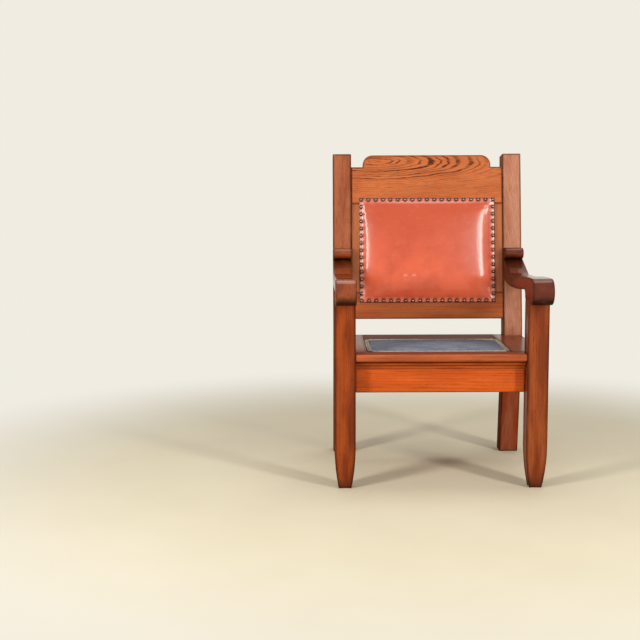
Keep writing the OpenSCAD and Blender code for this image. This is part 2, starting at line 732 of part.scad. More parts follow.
// Cleats that carry the seat panel, and the screws that hold them
cleat_z = board_z - cleat_h;
cleat_x = pad_x + cleat_grip;
front_cleat_y = pad_y0 + ledge_w;
back_cleat_y = pad_y1 - ledge_w;
module seat_cleat_front() color(BARE) place() difference() {
    block([-cleat_x, leg_d, cleat_z], [cleat_x, front_cleat_y, board_z]);
    front_cleat_screws(joint_gap);
    both() panel_screw_set(joint_gap);
}
module seat_cleat_back() color(BARE) place() difference() {
    block([-cleat_x, back_cleat_y, cleat_z], [cleat_x, pad_y1 + cleat_grip, board_z]);
    both() seat_board_screws(joint_gap);
    both() panel_screw_set(joint_gap);
}
module side_cleat() difference() {
    block([pad_x - ledge_w, front_cleat_y, cleat_z], [cleat_x, back_cleat_y, board_z]);
    seat_board_screws(joint_gap);
}
module seat_cleat_left() color(BARE) place() left() side_cleat();
module seat_cleat_right() color(BARE) place() side_cleat();
module front_cleat_screws(gap = 0) {
    for (x = [-0.6, 0, 0.6] * pad_x)
        translate([x, front_cleat_y, cleat_z + cleat_h / 2]) rotate([-90, 0, 0])
            screw(screw_d, cleat_screw_len, gap);
}
module seat_board_screws(gap = 0) {
    for (y = [0.25, 0.75])
        translate([pad_x + cleat_grip / 2, pad_y0 + y * (pad_y1 - pad_y0), cleat_z])
            rotate([180, 0, 0]) screw(screw_d, cleat_screw_len, gap);
    translate([0.6 * pad_x, pad_y1 + cleat_grip / 2, cleat_z]) rotate([180, 0, 0])
        screw(screw_d, cleat_screw_len, gap);
}
module cleat_screws() color(STEEL) place() {
    front_cleat_screws();
    both() seat_board_screws();
}
module panel_screw_set(gap = 0) {
    for (y = [front_cleat_y - ledge_w / 2, back_cleat_y + ledge_w / 2])
        translate([0.3 * pad_x, y, cleat_z]) rotate([180, 0, 0]) screw(screw_d, cleat_screw_len, gap);
}
module panel_screws() color(STEEL) place() both() panel_screw_set();

// Seat pad: a board, thin stuffing, cloth, and a nailed braid round the edge
module at_seat_nails(z) {
    translate([0, pad_mid, z])
        round_rectangle(snail_x, snail_y, snails_across, snails_deep, snail_corner) children();
}
module seat_shanks(gap = 0) at_seat_nails(panel_top + cloth_t + gimp_t) square_shank(seat_nail_len, gap);
// Outline of the pad, drawn in by the given amount
module pad_outline(in = 0) rounded_rect(2 * (panel_x - in), 2 * (pad_half - in), pad_r - in);
module seat_panel() color(BARE) place() difference() {
    translate([0, pad_mid, board_z]) linear_extrude(panel_t) pad_outline();
    seat_shanks(joint_gap);
    both() panel_screw_set(joint_gap);
}
swell_x = panel_x - swell_in;
swell_y = pad_half - swell_in;
seat_grid_x = crowd(PAD_COLUMNS, swell_x);
seat_grid_y = crowd(PAD_ROWS, swell_y);
module seat_stuffing() color(HAIR) place() translate([0, pad_mid, panel_top])
    crowned(inner(seat_grid_x), inner(seat_grid_y), swell_x, swell_y, seat_crown, -soft_gap, 0);
module seat_cover() color(CLOTH) place() difference() {
    edge_x = panel_x - cloth_in;
    edge_y = pad_half - cloth_in;
    translate([0, pad_mid, panel_top])
        crowned(concat([-edge_x], seat_grid_x, [edge_x]), concat([-edge_y], seat_grid_y, [edge_y]),
                swell_x, swell_y, seat_crown, cloth_t);
    seat_shanks(joint_gap);
}
module seat_gimp() color(BRAID) place() difference() {
    translate([0, pad_mid, panel_top]) linear_extrude(cloth_t + gimp_t) pad_outline();
    translate([0, pad_mid, panel_top - 1]) {
        linear_extrude(cloth_t + gimp_t + 2) pad_outline(gimp_w);
        linear_extrude(cloth_t + 1)
            square([2 * (panel_x - cloth_in), 2 * (pad_half - cloth_in)], center = true);
    }
    seat_shanks(joint_gap);
}
module seat_nails() color(BRASS) place() at_seat_nails(panel_top + cloth_t + gimp_t)
    domed_nail(seat_nail_d, seat_nail_h, seat_nail_len);

front_leg_left();
front_leg_right();
rear_post_left();
rear_post_right();
arm_left();
arm_right();
arm_screws();
arm_screw_plugs();
crest_rail();
back_stile_left();
back_stile_right();
lower_back_rail();
back_board();
back_stuffing();
back_leather();
back_nails();
outside_back_leather();
outside_back_nails();
front_apron();
side_rail_left();
side_rail_right();
rear_rail();
rail_dowels();
corner_block_front_left();
corner_block_front_right();
corner_block_rear_left();
corner_block_rear_right();
corner_block_screws();
front_moulding();
seat_front_board();
seat_side_board_left();
seat_side_board_right();
seat_back_board();
seat_cleat_front();
seat_cleat_back();
seat_cleat_left();
seat_cleat_right();
cleat_screws();
seat_panel();
panel_screws();
seat_stuffing();
seat_cover();
seat_gimp();
seat_nails();
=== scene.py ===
import bpy
import bmesh
from math import acos, asin, cos, degrees, hypot, pi, radians, sin, sqrt, tan
from mathutils import Matrix, Vector


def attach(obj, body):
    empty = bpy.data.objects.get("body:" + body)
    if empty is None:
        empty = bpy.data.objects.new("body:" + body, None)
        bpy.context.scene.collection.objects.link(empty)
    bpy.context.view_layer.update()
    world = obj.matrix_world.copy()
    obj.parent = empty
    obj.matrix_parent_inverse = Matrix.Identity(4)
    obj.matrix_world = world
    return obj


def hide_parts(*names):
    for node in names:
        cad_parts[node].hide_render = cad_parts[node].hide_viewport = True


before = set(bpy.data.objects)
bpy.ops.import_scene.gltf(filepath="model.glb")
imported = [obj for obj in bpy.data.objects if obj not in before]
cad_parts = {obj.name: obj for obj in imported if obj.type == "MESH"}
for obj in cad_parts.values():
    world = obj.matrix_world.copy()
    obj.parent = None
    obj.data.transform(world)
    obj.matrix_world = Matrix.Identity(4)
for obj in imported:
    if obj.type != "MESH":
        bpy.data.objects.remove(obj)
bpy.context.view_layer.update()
scene = bpy.context.scene


# --- Front legs ---
# Square oak legs, planed and with softly rounded upright edges. Each side of the foot is drawn in
# by a long bow, and a square tenon on top goes into the arm. Stained red-brown and polished.
def fill(tree, node, inputs):
    for key, value in inputs.items():
        if isinstance(value, bpy.types.NodeSocket):
            tree.links.new(value, node.inputs[key])
        else:
            node.inputs[key].default_value = value
    return node


def add(tree, kind, settings={}, inputs={}):
    made = tree.nodes.new("ShaderNode" + kind)
    for key, value in settings.items():
        setattr(made, key, value)
    return fill(tree, made, inputs)


def calc(tree, operation, *values):
    return add(tree, "Math", {"operation": operation}, dict(enumerate(values))).outputs[0]


def times(tree, first, second):
    return calc(tree, "MULTIPLY", first, second)


def fade(tree, value, start, end, low=0.0, high=1.0):
    step = add(tree, "MapRange", {"interpolation_type": "SMOOTHSTEP"},
               {"Value": value, "From Min": start, "From Max": end, "To Min": low, "To Max": high})
    return step.outputs["Result"]


# density is the number of spots per metre along each axis
def noise(tree, vector, density, detail, roughness=0.5):
    scaled = add(tree, "VectorMath", {"operation": "MULTIPLY"}, {0: vector, 1: density})
    return add(tree, "TexNoise", {},
               {"Vector": scaled.outputs[0], "Scale": 1.0, "Detail": detail,
                "Roughness": roughness}).outputs["Fac"]


def blend(tree, factor, first, second):
    return add(tree, "Mix", {"data_type": "RGBA"},
               {0: factor, 6: first, 7: second}).outputs[2]


def attribute(tree, name):
    return add(tree, "Attribute", {"attribute_name": name}).outputs["Fac"]


def group_of(name, inputs, outputs):
    tree = bpy.data.node_groups.new(name, "ShaderNodeTree")
    for way, sockets in (("INPUT", inputs), ("OUTPUT", outputs)):
        for kind, labels in sockets.items():
            for label in labels:
                tree.interface.new_socket(label, in_out=way, socket_type="NodeSocket" + kind)
    return tree, tree.nodes.new("NodeGroupInput").outputs, tree.nodes.new("NodeGroupOutput")


def srgb(red, green, blue):
    linear = [c / 12.92 if c <= 0.04045 else ((c + 0.055) / 1.055) ** 2.4
              for c in (red / 255, green / 255, blue / 255)]
    return (*linear, 1.0)


# Grain of one board: X runs along the board, and the rings stand round the pith at Y = Z = 0.
# Rings differ in darkness, wander a little, and fade beyond the bold radius. Clean is the share
# without dirt and without painted shade, and takes the polish
grain, given, result = group_of(
    "oak_grain",
    {"Vector": ["Vector"], "Color": ["Light", "Blotch", "Ring Colour"],
     "Float": ["Ring Width", "Waviness", "Ring Strength", "Bold Radius", "Pores", "Blotches",
               "Edge Dirt And Shade", "Roughness"]},
    {"Color": ["Color"], "Float": ["Roughness", "Height", "Clean Unshaded"]})
spot = given["Vector"]
across = add(grain, "VectorMath", {"operation": "MULTIPLY"},
             {0: spot, 1: (0, 1, 1)}).outputs[0]
radius = add(grain, "VectorMath", {"operation": "LENGTH"}, {0: across}).outputs["Value"]
sway = calc(grain, "SUBTRACT", noise(grain, spot, (2.2, 13, 13), 1), 0.5)
ripple = calc(grain, "SUBTRACT", noise(grain, spot, (12, 80, 80), 3, 0.6), 0.5)
bold = calc(grain, "SUBTRACT", radius, given["Bold Radius"])
radius = calc(grain, "ADD", radius, times(grain, sway, given["Waviness"]))
radius = calc(grain, "ADD", radius,
              times(grain, ripple, times(grain, given["Waviness"], 0.42)))
count = calc(grain, "DIVIDE", radius, given["Ring Width"])
uneven = add(grain, "TexNoise", {"noise_dimensions": "1D"},
             {"W": times(grain, count, 0.55), "Scale": 1.0, "Detail": 0.0}).outputs["Fac"]
count = calc(grain, "ADD", count, times(grain, uneven, 1.1))
ring = calc(grain, "FRACT", count)
year = add(grain, "TexWhiteNoise", {"noise_dimensions": "1D"},
           {"W": calc(grain, "FLOOR", count)}).outputs["Value"]
patch = noise(grain, spot, (10, 70, 70), 2)
early = times(grain, fade(grain, ring, 0.0, 0.12), fade(grain, ring, 0.24, 0.56, 1.0, 0.0))
early = times(grain, early, calc(grain, "MULTIPLY_ADD", year, 0.75, 0.4))
early = times(grain, early, fade(grain, patch, 0.3, 0.62, 0.45, 1.15))
early = times(grain, early, fade(grain, bold, 0.0, 0.03, 1.0, 0.25))
speck = fade(grain, noise(grain, spot, (70, 1100, 1100), 2), 0.52, 0.66)
speck = times(grain, speck, calc(grain, "MULTIPLY_ADD", early, 0.7, 0.3))
fibre = noise(grain, spot, (5, 260, 260), 3, 0.6)
cloudy = noise(grain, spot, (4, 26, 26), 3, 0.55)
dark = times(grain, early, given["Ring Strength"])
dark = calc(grain, "ADD", dark, times(grain, speck, given["Pores"]))
dark = calc(grain, "ADD", dark, calc(grain, "MULTIPLY_ADD", fibre, 0.8, -0.38))
dark.node.use_clamp = True
tone = blend(grain, times(grain, fade(grain, cloudy, 0.38, 0.66), given["Blotches"]),
             given["Light"], given["Blotch"])
tone = blend(grain, dark, tone, given["Ring Colour"])
# Eased edges, inner sides and hollows darken: dirt on the edges, and painted shade where light
# would fall less
dirt_and_shade_patches = fade(grain, noise(grain, spot, (14, 60, 60), 3), 0.2, 0.5, 0.5)
grime = times(grain, attribute(grain, "edge"), times(grain, given["Edge Dirt And Shade"], dirt_and_shade_patches))
dirty = blend(grain, 0.6, given["Ring Colour"], (0.012, 0.006, 0.003, 1.0))
fill(grain, result, {
    "Color": blend(grain, grime, tone, dirty),
    "Roughness": calc(grain, "ADD", calc(grain, "MULTIPLY_ADD", speck, 0.14, given["Roughness"]),
                      times(grain, cloudy, 0.1)),
    "Height": calc(grain, "MULTIPLY_ADD", speck, -0.7, times(grain, early, -0.3)),
    "Clean Unshaded": calc(grain, "SUBTRACT", 1.0, grime)})


# A new material with its nodes, its shader and the piece's own coordinates
def surface(name):
    material = bpy.data.materials.new(name)
    material.use_nodes = True
    tree = material.node_tree
    place = add(tree, "TexCoord").outputs["Object"]
    return material, tree, tree.nodes["Principled BSDF"], place


# Puts what a group draws into the shader, its height as a relief of depth metres
def draw_with(tree, shader, group, strength, depth, inputs):
    drawn = add(tree, "Group", {"node_tree": group}, inputs).outputs
    relief = add(tree, "Bump", {},
                 {"Strength": strength, "Distance": depth, "Height": drawn["Height"]})
    fill(tree, shader, {"Base Color": drawn["Color"], "Normal": relief.outputs[0]})
    return drawn


# The finish of one oak piece. turn brings the board's length to X, and pith is where the heart of
# the tree stands after that. low is (colour, z0, z1): that colour up to z0 fades into the usual one
# at z1, and so does low_polish
def oak(name, turn, pith, light, blotch, ring_colour, ring_width=0.005, waviness=0.006, rings=0.35,
        bold=1.0, pores=0.5, blotches=0.6, dirt=0.75, rough=0.32, polish=0.1, gloss=0.06,
        coat_rough=0.13, low=None, low_polish=None):
    material, tree, shader, place = surface(name)
    board = add(tree, "Mapping", {}, {"Vector": place, "Location": pith,
                                      "Rotation": [radians(a) for a in turn]}).outputs[0]
    tone = srgb(*light)
    shine = polish
    if low:
        height = add(tree, "SeparateXYZ", {}, {0: place}).outputs["Z"]
        tone = blend(tree, fade(tree, height, low[1], low[2]), srgb(*low[0]), tone)
        if low_polish:
            shine = fade(tree, height, low[1], low[2], low_polish, polish)
    figure = draw_with(tree, shader, grain, 0.35, 0.0004,
                       {"Vector": board, "Light": tone, "Blotch": srgb(*blotch),
                        "Ring Colour": srgb(*ring_colour), "Ring Width": ring_width,
                        "Waviness": waviness, "Ring Strength": rings, "Bold Radius": bold,
                        "Pores": pores, "Blotches": blotches, "Edge Dirt And Shade": dirt,
                        "Roughness": rough})
    fill(tree, shader, {"Roughness": figure["Roughness"], "Specular IOR Level": gloss,
                        "Coat Weight": times(tree, figure["Clean Unshaded"], shine),
                        "Coat Roughness": coat_rough})
    return material


# A softened edge. Dirt and painted shade darken it, and fade out over a narrow border beside it
def ease(bm, edges, offset, segments, border=0.0026):
    mark = bm.loops.layers.float.get("edge") or bm.loops.layers.float.new("edge")
    made = bmesh.ops.bevel(bm, geom=list(edges), offset=offset, offset_type="OFFSET",
                           segments=segments, profile=0.5, affect="EDGES", clamp_overlap=False,
                           material=-1)
    eased = set(made["faces"])
    worn = {v for face in eased for v in face.verts}
    for face in eased:
        for loop in face.loops:
            loop[mark] = 1.0
    flat = [f for f in bm.faces if f not in eased and f.calc_area() > 1e-6]
    if border:
        beside = bmesh.ops.inset_region(bm, faces=flat, thickness=border, use_even_offset=True,
                                        use_boundary=True)
        for face in beside["faces"]:
            for loop in face.loops:
                loop[mark] = 1.0 if loop.vert in worn else 0.0


# The inner side is painted darker all over, as painted shade
def paint_inner_shade(bm, side, amount):
    mark = bm.loops.layers.float["edge"]
    for face in bm.faces:
        if side * face.normal.x < -0.8:
            for loop in face.loops:
                loop[mark] = max(loop[mark], amount)


# Edges where two faces turn by more than angle radians
def sharp_edges(bm, angle=radians(35)):
    return [e for e in bm.edges if e.calc_face_angle(0) > angle]


# How far an edge runs along one axis
def reach(edge, axis):
    return abs(edge.verts[0].co[axis] - edge.verts[1].co[axis])


def new_verts(made):
    return [part for part in made["geom"] if isinstance(part, bmesh.types.BMVert)]


def add_box(bm, low, high):
    low, high = Vector(low), Vector(high)
    bmesh.ops.create_cube(bm, size=1, matrix=Matrix.Translation((high + low) / 2)
                          @ Matrix.Diagonal((*(high - low), 1)))
    return bm


def move(bm, matrix):
    bmesh.ops.transform(bm, matrix=matrix, verts=bm.verts[:])


def as_mesh(bm, name):
    mesh = bpy.data.meshes.new(name)
    bm.to_mesh(mesh)
    bm.free()
    return mesh


def into_scene(name, data):
    placed = bpy.data.objects.new(name, data)
    scene.collection.objects.link(placed)
    return placed


# A finished piece: normals outward, even shading, its body, the CAD parts it stands in for hidden,
# its material
def stand(bm, name, nodes, material):
    bmesh.ops.recalc_face_normals(bm, faces=bm.faces[:])
    if bm.calc_volume(signed=True) < 0:
        bmesh.ops.reverse_faces(bm, faces=bm.faces[:])
    mesh = as_mesh(bm, name)
    mesh.materials.append(material)
    piece = into_scene(name, mesh)
    mesh.shade_smooth()
    even = piece.modifiers.new("even_normals", "WEIGHTED_NORMAL")
    even.weight = 80
    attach(piece, "root")
    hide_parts(*nodes)
    return piece


# Depths are drawn from the legs' front faces, which stand SET_BACK before the frame's Y = 0
SET_BACK = 0.27055
leg_w, leg_d, leg_h, leg_mid = 0.067, 0.064, 0.600, 0.3025
leg_in, leg_shoulder, leg_tenon_h = leg_mid - leg_w / 2, 0.0165, 0.028
taper_h, taper_in, taper_steps, dark_foot_h = 0.142, 0.0132, 12, 0.002
bow_r = (taper_h ** 2 + taper_in ** 2) / (2 * taper_in)


def front_leg(side):
    bm = add_box(bmesh.new(), (-leg_w / 2, -leg_d / 2, 0), (leg_w / 2, leg_d / 2, leg_h))
    ease(bm, [e for e in bm.edges if reach(e, 2) > 0.1], 0.004, 4)
    for step in range(1, taper_steps + 1):
        bmesh.ops.bisect_plane(bm, geom=bm.verts[:] + bm.edges[:] + bm.faces[:], dist=1e-6,
                               plane_co=(0, 0, taper_h * step / taper_steps), plane_no=(0, 0, 1))
    for v in bm.verts:
        if v.co.z < taper_h:
            draw = bow_r - sqrt(bow_r ** 2 - (taper_h - v.co.z) ** 2)
            v.co.x -= draw if v.co.x > 0 else -draw
            v.co.y -= draw if v.co.y > 0 else -draw
    rim = [e for e in bm.edges if max(abs(v.co.z) for v in e.verts) < 1e-6]
    ease(bm, rim, 0.0015, 2, 0)
    top = [f for f in bm.faces if f.normal.z > 0.9 and f.calc_center_median().z > leg_h - 1e-4]
    bmesh.ops.inset_region(bm, faces=top, thickness=leg_shoulder)
    tenon = bmesh.ops.extrude_face_region(bm, geom=top)
    bmesh.ops.translate(bm, vec=(0, 0, leg_tenon_h), verts=new_verts(tenon))
    bmesh.ops.delete(bm, geom=top, context="FACES")
    move(bm, Matrix.Translation((side * leg_mid, leg_d / 2 - SET_BACK, 0)))
    bm.normal_update()
    # Painted shade darkens the inner side, and the lowest 2 mm of the foot is marked dark: floor
    # dirt and painted contact shadow
    paint_inner_shade(bm, side, 0.6)
    mark = bm.loops.layers.float["edge"]
    for face in bm.faces:
        for loop in face.loops:
            if loop.vert.co.z < dark_foot_h:
                loop[mark] = 1.0
    return bm


for side, word, finish in (
        (-1, "left", dict(pith=(0.3, 0.36, 0.13), light=(157, 71, 27), blotch=(106, 40, 14),
                          ring_colour=(66, 22, 7), ring_width=0.0045,
                          low=((98, 50, 28), 0.002, 0.045))),
        (1, "right", dict(pith=(1.7, 0.16, 0.48), light=(156, 77, 36), blotch=(110, 46, 20),
                          ring_colour=(70, 24, 9), ring_width=0.005,
                          low=((84, 40, 24), 0.002, 0.06)))):
    stand(front_leg(side), word + "_front_leg", ["front_leg_" + word],
          oak("oak_front_leg_" + word, (0, 90, 0), rings=0.32, blotches=0.8, pores=0.7, **finish))


# --- Rear posts ---
# Each rear leg and back upright is one thick oak piece, sawn to a shape that leans back below and
# above the seat, with a long bow where the two leans meet. Tops are cut square and eased.
def arc(centre, r, start, end, steps):
    return [(centre[0] + r * cos(radians(start + (end - start) * i / steps)),
             centre[1] + r * sin(radians(start + (end - start) * i / steps)))
            for i in range(steps + 1)]


# The solid that a flat outline leaves when it is pushed along
def pushed(outline, along):
    bm = bmesh.new()
    face = bm.faces.new([bm.verts.new(point) for point in outline])
    solid = bmesh.ops.extrude_face_region(bm, geom=[face], use_keep_orig=True)
    bmesh.ops.translate(bm, vec=along, verts=new_verts(solid))
    bmesh.ops.remove_doubles(bm, verts=bm.verts[:], dist=1e-5)
    bmesh.ops.recalc_face_normals(bm, faces=bm.faces[:])
    return bm


# Sawn from the side: an outline in depth and height, from x0 to x1
def sawn(outline, x0, x1):
    return pushed([(x0, y - SET_BACK, z) for y, z in outline], (x1 - x0, 0, 0))


seat_run, seat_h, chair_h, post_d, knee_r = 0.461, 0.430, 1.067, 0.064, 0.304
post_in, post_out, rake_up, rake_low = 0.2675, 0.3325, 9, 8.65


def post_front(z):
    lean = rake_up if z > seat_h else -rake_low
    return seat_run + (z - seat_h) * tan(radians(lean))


both_leans = sin(radians(rake_up + rake_low))
knee = (seat_run + knee_r * (sin(radians(rake_up)) + sin(radians(rake_low))) / both_leans,
        seat_h + knee_r * (cos(radians(rake_up)) - cos(radians(rake_low))) / both_leans)
post_outline = [(post_front(0), 0), *arc(knee, knee_r, 180 + rake_low, 180 - rake_up, 14),
                (post_front(chair_h), chair_h),
                (post_front(chair_h) + post_d * cos(radians(rake_up)),
                 chair_h - post_d * sin(radians(rake_up))),
                *arc(knee, knee_r - post_d, 180 - rake_up, 180 + rake_low, 14),
                (post_front(0) + post_d / cos(radians(rake_low)), 0)]


def rear_post(side):
    bm = sawn(post_outline, side * post_in, side * post_out)
    ease(bm, sharp_edges(bm), 0.0026, 3)
    # Painted shade darkens the inner side
    paint_inner_shade(bm, side, 0.7)
    return bm


# Below the seat the posts are painted darker (low), a painted shade where the seat shades them, and
# the right post's pale pink light colour is a painted sheen from the lamps on the right
for side, word, finish in (
        (-1, "left", dict(pith=(0.9, -0.02, 0.42), light=(171, 101, 69), blotch=(135, 69, 45),
                          ring_colour=(90, 38, 18), ring_width=0.0042, rings=0.3, blotches=0.7,
                          low=((136, 60, 26), 0.36, 0.47))),
        (1, "right", dict(pith=(2.4, -0.05, 0.12), light=(190, 132, 106), blotch=(161, 100, 74),
                          ring_colour=(104, 52, 30), ring_width=0.0046, rings=0.28,
                          low=((142, 58, 24), 0.36, 0.47)))):
    stand(rear_post(side), word + "_rear_post", ["rear_post_" + word],
          oak("oak_rear_post_" + word, (0, 90, 0), dirt=0.95, gloss=0.0, **finish))


# --- Arms ---
# Each arm is band-sawn from one thick oak blank: a big roll over the front leg, a level part that
# dips, and a ramp up to a small roll on the post. All edges are eased by hand and rubbed bright.
def clamp(value):
    return min(1.0, max(0.0, value))


roll, roll_r, arm_in, arm_out = (-0.043, 0.6304), 0.041, 0.268, 0.334
dip_y, arm_dip, arm_t, ramp_r, ramp_a = 0.345, 0.017, 0.0415, 0.090, 19
under_lift, throat_t, fillet_r = 0.016, 0.012, 0.018
rear_h, rear_r, rear_out = 0.718, 0.019, 0.041
half_run = (dip_y - roll[0]) / 2
dip_top = roll[1] + roll_r - arm_dip
sway_r = (half_run ** 2 + arm_dip ** 2 / 4) / arm_dip
sway_a = degrees(asin(half_run / sway_r))
crest_c = (roll[0], roll[1] + roll_r - sway_r)
dip_c = (dip_y, dip_top + sway_r)
fillet_y = leg_d + fillet_r
fillet_a = 90 - degrees(asin((fillet_y - roll[0]) / sway_r))
under_end = dip_top - arm_t + under_lift
under_run = post_front(under_end) - dip_y
under_r = (under_run ** 2 + under_lift ** 2) / (2 * under_lift)
under_a = degrees(asin(under_run / under_r))
fillet_c = (fillet_y, crest_c[1] + sway_r * sin(radians(fillet_a)) - arm_t - fillet_r)
ramp_c = (dip_y, dip_top + ramp_r)
ramp_foot = (ramp_c[0] + ramp_r * sin(radians(ramp_a)), ramp_c[1] - ramp_r * cos(radians(ramp_a)))
small = (post_front(rear_h) - rear_out + rear_r, rear_h)
throat_y = post_front(rear_h - rear_r) - throat_t
ramp_top = (throat_y, ramp_foot[1] + (throat_y - ramp_foot[0]) * tan(radians(ramp_a)))
throat_a = 360 - degrees(acos((throat_y - small[0]) / rear_r))
foot_a = 360 - degrees(asin((roll[1] - leg_h) / roll_r))
arm_outline = [(leg_d, leg_h), *arc(fillet_c, fillet_r, 180, 90, 7),
               *arc((crest_c[0], crest_c[1] - arm_t), sway_r, fillet_a, 90 - sway_a, 8)[1:],
               *arc((dip_c[0], dip_c[1] - arm_t), sway_r, 270 - sway_a, 270, 8)[1:],
               *arc((dip_y, dip_top - arm_t + under_r), under_r, 270, 270 + under_a, 5)[1:],
               (post_front(rear_h + rear_r), rear_h + rear_r),
               *arc(small, rear_r, 90, throat_a, 26), ramp_top,
               *arc(ramp_c, ramp_r, 270 + ramp_a, 270, 6),
               *arc(dip_c, sway_r, 270, 270 - sway_a, 8)[1:],
               *arc(crest_c, sway_r, 90 - sway_a, 90, 8)[1:],
               *arc(roll, roll_r, 90, foot_a, 34)[1:]]


# Painted shade darkens the sides, the underside of the big roll and the throat before the small
# one, and the eased edges keep some of their dirt
def arm(side):
    bm = sawn(arm_outline, side * arm_in, side * arm_out)
    ease(bm, [e for e in sharp_edges(bm, 1.2) if reach(e, 0) < 1e-6], 0.0042, 4)
    mark = bm.loops.layers.float["edge"]
    for face in bm.faces:
        if abs(face.normal.x) > 0.9:
            for loop in face.loops:
                loop[mark] = max(loop[mark], 0.6 if side * face.normal.x > 0 else 0.4)
            continue
        for loop in face.loops:
            y, z = loop.vert.co.y + SET_BACK, loop.vert.co.z
            below_roll = clamp((roll[1] - 0.010 - z) / 0.018) if y < 0.0 else 0.0
            in_throat = clamp(1 - abs(z - ramp_top[1]) / 0.012) if y > throat_y - 0.03 else 0.0
            loop[mark] = max(loop[mark] * 0.55, 0.95 * below_roll, in_throat)
    return bm


for side, word, finish in (
        (-1, "left", dict(pith=(0.4, 0.18, -0.52), light=(146, 66, 26), blotch=(100, 38, 14),
                          ring_colour=(58, 20, 8), polish=0.75, gloss=0.06)),
        (1, "right", dict(pith=(1.4, 0.45, -0.56), light=(108, 42, 16), blotch=(72, 25, 9),
                          ring_colour=(44, 14, 6), polish=0.6, gloss=0.04))):
    stand(arm(side), word + "_arm", ["arm_" + word],
          oak("oak_arm_" + word, (0, 0, -90), rings=0.32, dirt=1.0, rough=0.25, coat_rough=0.05,
              **finish))


# --- Crest rail ---
# A wide oak board between the posts, with a raised middle, quarter-round corners and flat
# shoulders. It is cut near the heart, so bold dark tongues run along its upper half.
lean = (Matrix.Translation((0, seat_run - SET_BACK, seat_h))
        @ Matrix.Rotation(radians(-rake_up), 4, "X"))
crest_top, crest_foot, shoulder, corner, raised = 0.6409, 0.4689, 0.5989, 0.035, 0.2265
face_y, back_y, tenon_y0, tenon_y1, tenon_end = 0.005, 0.029, 0.007, 0.017, 0.2915


# Here and below, x and s are the width and the height on the leaning back
def tenon(bm, x0, x1, s0, s1):
    add_box(bm, (x0, tenon_y0, s0), (x1, tenon_y1, s1))


right_top = arc((raised - corner, crest_top - corner), corner, 0, 90, 12)
crest_outline = [(-post_in, crest_foot), (post_in, crest_foot), (post_in, shoulder),
                 (raised, shoulder), *right_top, *[(-x, s) for x, s in reversed(right_top)],
                 (-raised, shoulder), (-post_in, shoulder)]
crest = pushed([(x, face_y, s) for x, s in crest_outline], (0, back_y - face_y, 0))
ease(crest, [e for e in sharp_edges(crest, 1.2) if reach(e, 1) < 1e-6], 0.0016, 3)
for side in (-1, 1):
    tenon(crest, side * 0.2659, side * tenon_end, 0.4809, 0.5869)
move(crest, lean)
stand(crest, "crest_board", ["crest_rail"],
      oak("oak_crest", (-81, -10, 0), (0.0, -1.0735, 0.1569), (198, 110, 63), (174, 90, 50),
          (84, 38, 22), ring_width=0.0062, waviness=0.016, rings=0.95, bold=0.056, pores=0.6,
          blotches=0.6, dirt=1.0))


# --- Stiles and lower rail ---
# Narrower oak boards that close the back frame under the crest rail. They are tenoned together
# and into the posts, flush in front, and the leather is nailed over their inner edges.
def frame_board(x0, x1, s0, s1):
    bm = add_box(bmesh.new(), (x0, face_y, s0), (x1, back_y, s1))
    ease(bm, bm.edges[:], 0.0009, 2)
    return bm


stile_in, stile_foot, rail_foot, tongue_x, half_tongue = 0.2155, 0.153, 0.061, 0.24075, 0.01475
for side, word in ((-1, "left"), (1, "right")):
    stile = frame_board(*sorted((side * stile_in, side * post_in)), stile_foot, crest_foot)
    tenon(stile, side * tongue_x - half_tongue, side * tongue_x + half_tongue,
          stile_foot - 0.014, crest_foot + 0.014)
    move(stile, lean)
    stand(stile, word + "_stile", ["back_stile_" + word],
          oak("oak_stile_" + word, (9, 90, 0), (0.5 + side * 0.2, 0.25, 0.4), (180, 107, 69),
              (148, 79, 49), (90, 38, 18), ring_width=0.004, rings=0.35, dirt=0.95))
lower = frame_board(-post_in, post_in, rail_foot, stile_foot)
for side in (-1, 1):
    tenon(lower, side * 0.266, side * tenon_end, rail_foot + 0.012, stile_foot - 0.012)
move(lower, lean)
stand(lower, "lower_rail", ["lower_back_rail"],
      oak("oak_lower_rail", (-81, 1.0, 0), (0.7, -0.33, 0.21), (183, 97, 52), (145, 68, 36),
          (88, 34, 15), ring_width=0.0036, rings=0.4, dirt=0.95))


# --- Back board and stuffing ---
# A thin softwood board lies in the rabbet of the back frame, and a domed pad of stuffing is built
# up on it. Neither shows: the leather is drawn over the pad. The board keeps its own CAD shape.
def softwood(name, turn, pith):
    return oak(name, turn, pith, (214, 172, 120), (198, 150, 98), (150, 100, 58), ring_width=0.006,
               rings=0.4, pores=0.1, blotches=0.4, dirt=0.0, polish=0.0)


def dress(node, material):
    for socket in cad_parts[node].material_slots:
        socket.material = material


def hair(name):
    material, tree, shader, place = surface(name)
    draw_with(tree, shader, stuffing, 0.8, 0.002, {"Vector": place})
    fill(tree, shader, {"Roughness": 0.95})
    return material


def dome(u, fullness):
    return 0.0 if abs(u) >= 1 else sqrt(1 - abs(u) ** fullness)


# A flat sheet of square meshes in its own plane, centred, with its corner vertices on the edges
def flat_sheet(half_x, half_y, step):
    bm = bmesh.new()
    bmesh.ops.create_grid(bm, x_segments=round(2 * half_x / step),
                          y_segments=round(2 * half_y / step), size=1)
    for v in bm.verts:
        v.co = (v.co.x * half_x, v.co.y * half_y, 0)
    return bm


puff_frames = 20


